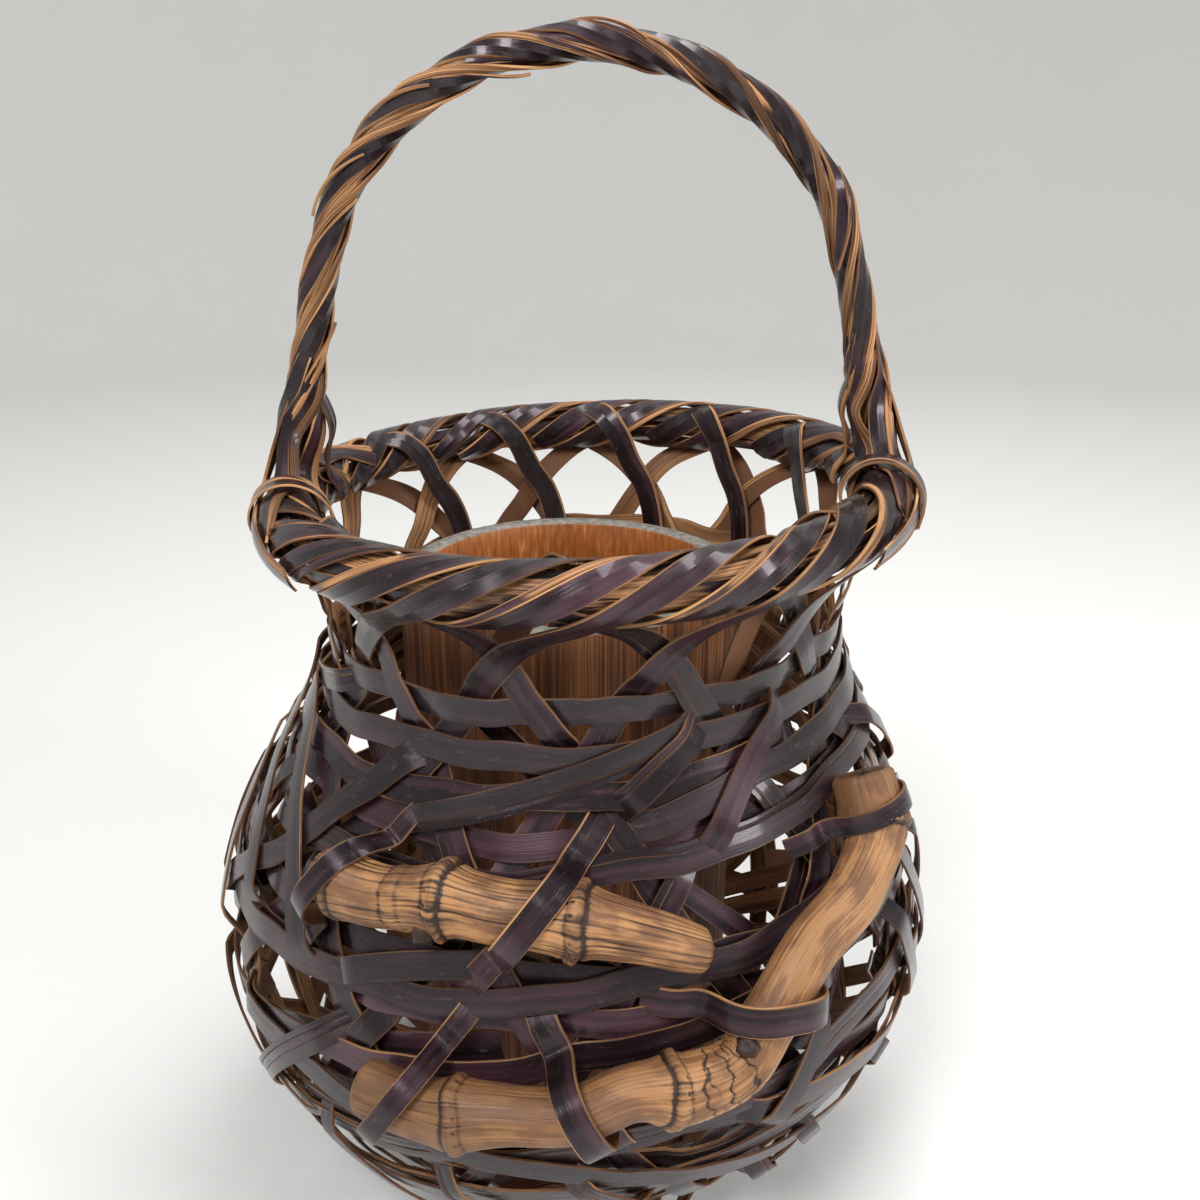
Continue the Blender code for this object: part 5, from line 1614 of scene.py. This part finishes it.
def root_relief(place_grid, turn_grid, nodes, depth, crease, chance):
    """How far a root's surface stands off its plain radius, and how much shade is painted into its
    wrinkles, grooves, scar pits and creases.
    """
    shape = 0
    for _ in range(3):
        shape = shape + 0.00028 * np.sin(
            2 * turn_grid + place_grid * chance.uniform(15, 40) + chance.uniform(0, 6)
        )
    wrinkles = 0
    for count in (17, 26, 37, 49, 61):
        bend = np.sin(place_grid * chance.uniform(30, 80) + 2 * turn_grid + chance.uniform(0, 6))
        start = chance.uniform(0, 6) + 0.5 * np.sin(5 * turn_grid)
        wave = np.sin(count * turn_grid + 0.9 * bend + start)
        fade = place_grid * chance.uniform(60, 160) + chance.uniform(0, 6) + 3 * turn_grid
        wrinkles = wrinkles + np.clip(wave - 0.62, 0, 1) / 0.38 * (0.5 + 0.5 * np.sin(fade))
    shape = shape - depth * wrinkles
    # Shade painted into the wrinkles, more where they are deeper
    shade_and_cut_dark = 0.55 * min(1.0, depth / 0.0003) * wrinkles

    # Each node is a swelling with a ridge, a groove, and a row of rootlet scars
    for index, (node, size) in enumerate(nodes):
        wave = 0.0009 * np.sin(2 * turn_grid + index) + 0.0004 * np.sin(5 * turn_grid + 2 * index)
        away = place_grid - node - wave
        groove = size * hill(away - 0.0024, 0.0008)
        shape += size * (ROOT_NODE_BULGE + 0.0004) * hill(away, 0.0045)
        shape += size * 0.0007 * hill(away, 0.0011) - 0.0009 * groove
        count = 15 + index
        scar = turn_grid * count / math.tau
        across = ((scar + 0.3 * index) % 1 - 0.5) * math.tau * ROOT_RADIUS / count
        scar_size = size * (0.35 + 0.65 * np.abs(np.sin(7 * np.floor(scar) + index)))
        beads = scar_size * hill(across, 0.00115) * hill(away + 0.0022, 0.0012)
        pits = scar_size * hill(across, 0.00045) * hill(away + 0.0024, 0.0005)
        rings = hill(away + 0.0040, 0.0007)
        shape += 0.0011 * beads - 0.0012 * pits - 0.0005 * rings
        # Shade painted into the groove, the ring line and the scar pits, and round the scars
        shade_and_cut_dark += 0.8 * groove + 0.45 * rings + 1.1 * pits
        shade_and_cut_dark += 0.3 * scar_size * hill(away, 0.0030) * (1 - beads)
    if crease is not None:
        for index in range(9):
            centre = crease + (index - 4) * 0.0030
            bend = 0.0016 * np.sin(3 * turn_grid + index * 1.7)
            bend = bend + 0.0007 * np.sin(11 * turn_grid + index)
            cut = hill(place_grid - centre - bend, 0.00045)
            cut = cut * np.clip(np.sin(turn_grid + index * 2.3) + 0.5, 0, 1)
            shape -= 0.0008 * cut
            # Shade painted into the creases
            shade_and_cut_dark += 0.9 * cut
    from_end = np.minimum(place_grid, place_grid[-1] - place_grid)
    return shape - 0.0016 * (1 - smooth_share(from_end / 0.0022)) ** 2, shade_and_cut_dark


def root_cap(ring, outward, place, turns, share):
    """A smaller ring of a root's cut end, with its place and how dark it is painted, darker towards
    the middle.
    """
    centre = ring.mean(axis=0)
    dip = 0.0004 * np.sin(5 * turns) - 0.0006 * (1 - share)
    dark = 0.35 + 0.4 * (share < 0.3) + 0.3 * abs(np.sin(9 * turns))
    points = centre + (ring - centre) * share + outward * dip[:, None]
    return points, columns(place, turns * ROOT_RADIUS * share, 0), dark


def stub_rings(points, facing, along, place_share, turn_angle, height, radius):
    """A cut side root: a short uneven peg standing out of the root piece."""
    lengths = lengths_along(points)
    index = int(np.searchsorted(lengths, place_share * lengths[-1]))
    turn = math.radians(turn_angle)
    side = unit(np.cross(along, facing))[index]
    outward = facing[index] * math.cos(turn) + side * math.sin(turn)
    angles = np.arange(STUB_SIDES) * math.tau / STUB_SIDES
    share, size = np.array(STUB_LEVELS).T[..., None]
    wobble = 1 + 0.10 * np.sin(3 * angles + 4 * share) + 0.06 * np.sin(7 * angles)
    spokes = (
        np.cos(angles)[:, None] * along[index]
        + np.sin(angles)[:, None] * np.cross(outward, along[index])
    )
    lift = (ROOT_RADIUS * 0.75 + height * share)[..., None]
    return points[index] + outward * lift + spokes * (radius * size * wobble)[..., None] + AXIS


def root_solid(place_shares, depth, chance, nodes, swelling, aged, crease, stubs):
    """Rings of a wrinkled root piece and its stubs, and what its finish reads."""
    dense, out_dense = on_body(*root_track(place_shares))
    dense = dense + out_dense * (ROOT_RADIUS + ROOT_NODE_BULGE + ROOT_SEAT)
    lengths = lengths_along(dense)
    total = lengths[-1]
    places = np.linspace(0, total, round(total / ROOT_STEP) + 1)
    turns = np.arange(ROOT_SIDES) * math.tau / ROOT_SIDES
    place_grid, turn_grid = np.meshgrid(places, turns, indexing="ij")
    shape, shade_and_cut_dark = root_relief(
        place_grid, turn_grid, [(share * total, size) for share, size in nodes], depth,
        None if crease is None else crease * total, chance,
    )
    points = leaned(picked(places, lengths, dense))
    facing = unit(picked(places, lengths, out_dense))
    along = directions_along(points)
    first = unit(np.cross(along, facing))
    second = np.cross(along, first)
    swollen = eased(np.interp(places / total, *zip(*swelling)), round(0.006 / ROOT_STEP))
    lopsided = 0.0007 * np.sin(turn_grid + place_grid * 45)
    radius = ROOT_RADIUS + shape + swollen[:, None] + lopsided
    spokes = first[:, None] * np.cos(turns)[:, None] + second[:, None] * np.sin(turns)[:, None]
    rings = points[:, None] + spokes * radius[:, :, None] + AXIS
    start_caps, end_caps = (
        [root_cap(rings[row], along[row] * sign, places[row], turns, share) for share in CAP_SHARES]
        for row, sign in ((0, -1), (-1, 1))
    )
    body = zip(rings, columns(place_grid, turn_grid * ROOT_RADIUS, 0), shade_and_cut_dark)
    rings, on_root, shade_and_cut_dark = (
        np.array(part) for part in zip(*start_caps[::-1], *body, *end_caps)
    )
    stacks = [rings] + [stub_rings(points, facing, along, *stub) for stub in stubs]
    on_root = [on_root.reshape(-1, 3)]
    shade_and_cut_dark = [shade_and_cut_dark.ravel()]
    for _ in stubs:
        on_root.append(np.tile((0.02, 0.01, 0), (STUB_SIDES * len(STUB_LEVELS), 1)))
        # Each stub darkens towards its cut top
        shade_and_cut_dark.append(np.linspace(0.6, 1.1, STUB_SIDES * len(STUB_LEVELS)))
    on_root = np.concatenate(on_root)
    return stacks, {
        "root_place": on_root,
        "shade_and_cut_dark": np.concatenate(shade_and_cut_dark),
        "aged": np.interp(on_root[:, 0] / total, *zip(*aged)),
    }


def tie_line(place_shares, along_share, direction):
    """A strip that passes over a root piece and lies on the weave beside it."""
    angles, places = root_track(place_shares)
    nearest = round(along_share * ROOT_SAMPLES)
    angle, place = angles[nearest], places[nearest]
    radius = section_at(place)[0]
    root_across = math.radians(angles[nearest + 1] - angles[nearest - 1]) * radius
    root_upward = places[nearest + 1] - places[nearest - 1]
    slope = math.radians(direction)
    crossing = slope - math.atan2(root_upward, root_across)
    bends = np.linspace(-TIE_LEAN, TIE_LEAN, 9)
    reaches = np.sign(bends) * abs(math.cos(crossing)) * TIE_WIDTH / 2
    reaches = reaches + TIE_OVER_ROOT * np.sin(bends)
    lifts = ROOT_RADIUS + ROOT_NODE_BULGE + ROOT_SEAT + TIE_OVER_ROOT * np.cos(bends)
    foot = reaches[-1] + (lifts[-1] - TIE_CLEARANCE) / math.tan(TIE_LEAN)
    feet = np.array((foot, foot + TIE_REACH)) / abs(math.sin(crossing))
    feet = np.append(feet, feet[-1] + TIE_TUCK_LENGTH)
    feet = np.concatenate((-feet[::-1], feet))
    middle, facing = on_body(angle, place)
    sideways = around([angle + QUARTER_TURN], 1, 0)
    travel = sideways * math.cos(slope) + np.cross(facing, sideways) * math.sin(slope)
    bridge = middle + travel * reaches[:, None] / abs(math.sin(crossing))
    bridge = bridge + facing * lifts[:, None]
    foot_points, foot_facing = on_body(
        angle + np.degrees(feet * math.cos(slope) / radius), place + feet * math.sin(slope)
    )
    rise = np.array((0, 1, 1, 1, 1, 0)) * TIE_CLEARANCE
    foot_points = foot_points + foot_facing * rise[:, None]
    points = leaned(np.concatenate((foot_points[:3], bridge, foot_points[3:])))
    bridge_facing = np.repeat(facing, len(bends), axis=0)
    outward = np.concatenate((foot_facing[:3], bridge_facing, foot_facing[3:]))
    return points, strip_frame(points, outward)[2]


class BASKET_OT_roots(bpy.types.Operator):
    """Set the bamboo root pieces on the front and tie them down"""

    bl_idname = "basket.roots"
    bl_label = "Root pieces"

    def execute(self, context):
        sizes = prepared(context)
        for node, place_shares, depth_share, seed, *details in ROOTS:
            stacks, attributes = root_solid(
                place_shares, sizes.wrinkle_depth * depth_share, np.random.default_rng(seed),
                *details,
            )
            solid_piece(f"{node}_piece", stacks, attributes, "bamboo_root", node, "basket")
        for index, (node, *row) in enumerate(TIES):
            chance = np.random.default_rng(610 + index)
            strands = smooth_strands(*tie_line(*row), sizes.strip_width, chance, bare_edge=0.08)
            lay_node(node, strands)
        chance = np.random.default_rng(620)
        strands = []
        for *row, width_share in ROOT_END_STRIPS:
            strands += smooth_strands(
                *tie_line(*row), sizes.strip_width * width_share, chance, ragged=0.004,
                bare_edge=0.06, stained=0.5,
            )
        lay_strips("root_end_strips", strands)
        return {"FINISHED"}


# --------------------------------------------- the water tube and foot ring

class BASKET_OT_water_tube(bpy.types.Operator):
    """Stand the lacquered water tube in the basket"""

    bl_idname = "basket.water_tube"
    bl_label = "Water tube"

    def execute(self, context):
        sizes = prepared(context)
        outer, inner = sizes.tube_radius, sizes.tube_radius - sizes.tube_wall
        low, high = float(TUBE_LOW[2]), float(TUBE_HIGH[2])
        floor, soft = low + sizes.tube_floor, TUBE_SOFT_EDGE

        def wall(radius, first, last, count):
            shares = np.linspace(first, last, count)
            return [(radius, low + (high - low) * share) for share in shares]

        outside = [(TUBE_POLE_RADIUS, low), (outer - soft, low), (outer, low + soft)]
        outside += wall(outer, 0.05, 0.95, 12) + [(outer, high - soft)]
        lip = [(outer - soft * 0.7, high), (inner + soft * 0.7, high)]
        inside = [(inner, high - soft)] + wall(inner, 0.95, 0.1, 10)
        bevel = TUBE_FLOOR_BEVEL
        inside += [(inner, floor + bevel), (inner - bevel, floor), (TUBE_POLE_RADIUS, floor)]
        outline = np.array(outside + lip + inside)
        zones = np.repeat((0, 1, 2), (len(outside), len(lip), len(inside)))
        radius, height = outline.T[..., None]
        run = lengths_along(outline)[:, None]
        turns = np.arange(TUBE_SIDES) * math.tau / TUBE_SIDES
        uneven = np.sin(3 * turns + 1) + 0.5 * np.sin(7 * turns) + 0.4 * np.sin(17 * turns)
        radius = radius * (1 + TUBE_UNEVENNESS * uneven)
        rings = AXIS + around(np.degrees(turns), radius, height)
        about = np.minimum(turns, math.tau - turns) * TUBE_GRAIN_RADIUS
        attributes = {
            "zone": np.repeat(zones, TUBE_SIDES),
            "tube_place": columns(about, height + run * TUBE_GRAIN_DRIFT, 0).reshape(-1, 3),
        }
        solid_piece(
            "water_tube_piece", [rings], attributes, "lacquered_tube", "liner_tube", "water_tube"
        )
        return {"FINISHED"}


class BASKET_OT_foot_ring(bpy.types.Operator):
    """Lay the ring that the basket stands on"""

    bl_idname = "basket.foot_ring"
    bl_label = "Foot ring"

    def execute(self, context):
        prepared(context)
        low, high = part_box("foot_ring")
        outer = float(high[0] - low[0]) / 2 - FOOT_RING_INSET
        row_height = float(high[2]) / FOOT_RING_ROWS
        chance = np.random.default_rng(700)
        angles = np.arange(0, FULL_TURN + FOOT_RING_STEP_ANGLE, FOOT_RING_STEP_ANGLE)
        strands = []
        for index in range(FOOT_RING_ROWS):
            for radius, sign in ((outer, 1), (outer - FOOT_RING_THICKNESS, -1)):
                points = around(angles, radius, row_height * (index + 0.5))
                outward = around(angles, sign, 0)
                strands += strands_of(points, outward, row_height, chance, lift=0.0)
        lay_strips("foot_ring_strips", strands, "tan_bamboo", "foot_ring")
        return {"FINISHED"}


# ---------------------------------------------------------------- the stage

class BASKET_OT_stage(bpy.types.Operator):
    """Set up the floor, the backdrop, the lamps and the camera"""

    bl_idname = "basket.stage"
    bl_label = "Stage"

    def execute(self, context):
        prepared(context)
        scene = context.scene
        turns = np.radians(np.arange(1, BOWL_FILLET_STEPS + 1) * QUARTER_TURN / BOWL_FILLET_STEPS)
        flat = ((0.5, 0), (1.2, 0), (BOWL_RADIUS - BOWL_FILLET, 0))
        fillet = columns(BOWL_RADIUS - BOWL_FILLET, 0) + BOWL_FILLET * columns(
            np.sin(turns), 1 - np.cos(turns)
        )
        profile = np.concatenate((flat, fillet, ((BOWL_RADIUS, BOWL_HEIGHT),)))
        angles = np.arange(BOWL_SIDES) * FULL_TURN / BOWL_SIDES
        verts = around(angles, *profile.T[..., None]).reshape(-1, 3)
        faces = [face[::-1] for face in ring_faces(len(profile), BOWL_SIDES)]
        mesh = bpy.data.meshes.new("floor")
        mesh.from_pydata(verts.tolist(), [], [tuple(range(BOWL_SIDES))] + faces)
        mesh.shade_smooth()
        mesh.materials.append(SHARED["floor"])
        placed("floor", mesh)
        for name, place, size, power in LAMPS:
            data = bpy.data.lights.new(name, "AREA")
            data.shape = "DISK"
            data.size = size
            data.energy = power
            lamp = placed(name, data)
            lamp.location = place
            lamp.rotation_euler = (LAMP_AIM - Vector(place)).to_track_quat("-Z", "Y").to_euler()
        world = bpy.data.worlds.new("studio")
        world.use_nodes = True
        background = world.node_tree.nodes["Background"]
        background.inputs["Color"].default_value = WORLD_COLOUR
        background.inputs["Strength"].default_value = WORLD_STRENGTH
        scene.world = world
        scene.view_settings.view_transform = "Standard"
        data = bpy.data.cameras.new("camera")
        data.lens = CAMERA_LENS
        data.sensor_width = 36.0
        data.sensor_fit = "HORIZONTAL"
        data.clip_start = 0.02
        camera = placed("camera", data)
        camera.location = Vector(CAMERA_PLACE) + Vector(AXIS)
        camera.rotation_euler = (math.radians(CAMERA_TILT_ANGLE), 0, 0)
        scene.camera = camera
        return {"FINISHED"}


class BASKET_PT_panel(bpy.types.Panel):
    """The basket's pieces, sizes and colours"""

    bl_idname = "BASKET_PT_panel"
    bl_label = "Flower basket"
    bl_space_type = "VIEW_3D"
    bl_region_type = "UI"
    bl_category = "Basket"

    def draw(self, context):
        layout = self.layout
        for operator in OPERATORS:
            layout.operator(operator.bl_idname, text=operator.bl_label)
        for group in (context.scene.basket_sizes, context.scene.basket_colours):
            box = layout.box()
            for key in group.__annotations__:
                box.prop(group, key)


OPERATORS = (
    BASKET_OT_stakes,
    BASKET_OT_weavers,
    BASKET_OT_outer_weavers,
    BASKET_OT_loose_strips,
    BASKET_OT_rim,
    BASKET_OT_handle,
    BASKET_OT_roots,
    BASKET_OT_water_tube,
    BASKET_OT_foot_ring,
    BASKET_OT_stage,
)
CLASSES = (BasketSizes, BasketColours) + OPERATORS + (BASKET_PT_panel,)


def register():
    """Register the classes and hang the settings on the scene."""
    for item in CLASSES:
        bpy.utils.register_class(item)
    bpy.types.Scene.basket_sizes = bpy.props.PointerProperty(type=BasketSizes)
    bpy.types.Scene.basket_colours = bpy.props.PointerProperty(type=BasketColours)


def unregister():
    """Take the settings and classes away again."""
    del bpy.types.Scene.basket_colours
    del bpy.types.Scene.basket_sizes
    for item in reversed(CLASSES):
        bpy.utils.unregister_class(item)


def main():
    """Build the whole basket."""
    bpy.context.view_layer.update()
    register()
    bpy.ops.basket.stakes()
    bpy.ops.basket.weavers()
    bpy.ops.basket.outer_weavers()
    bpy.ops.basket.loose_strips()
    bpy.ops.basket.rim()
    bpy.ops.basket.handle()
    bpy.ops.basket.roots()
    bpy.ops.basket.water_tube()
    bpy.ops.basket.foot_ring()
    bpy.ops.basket.stage()


if __name__ == "__main__":
    main()
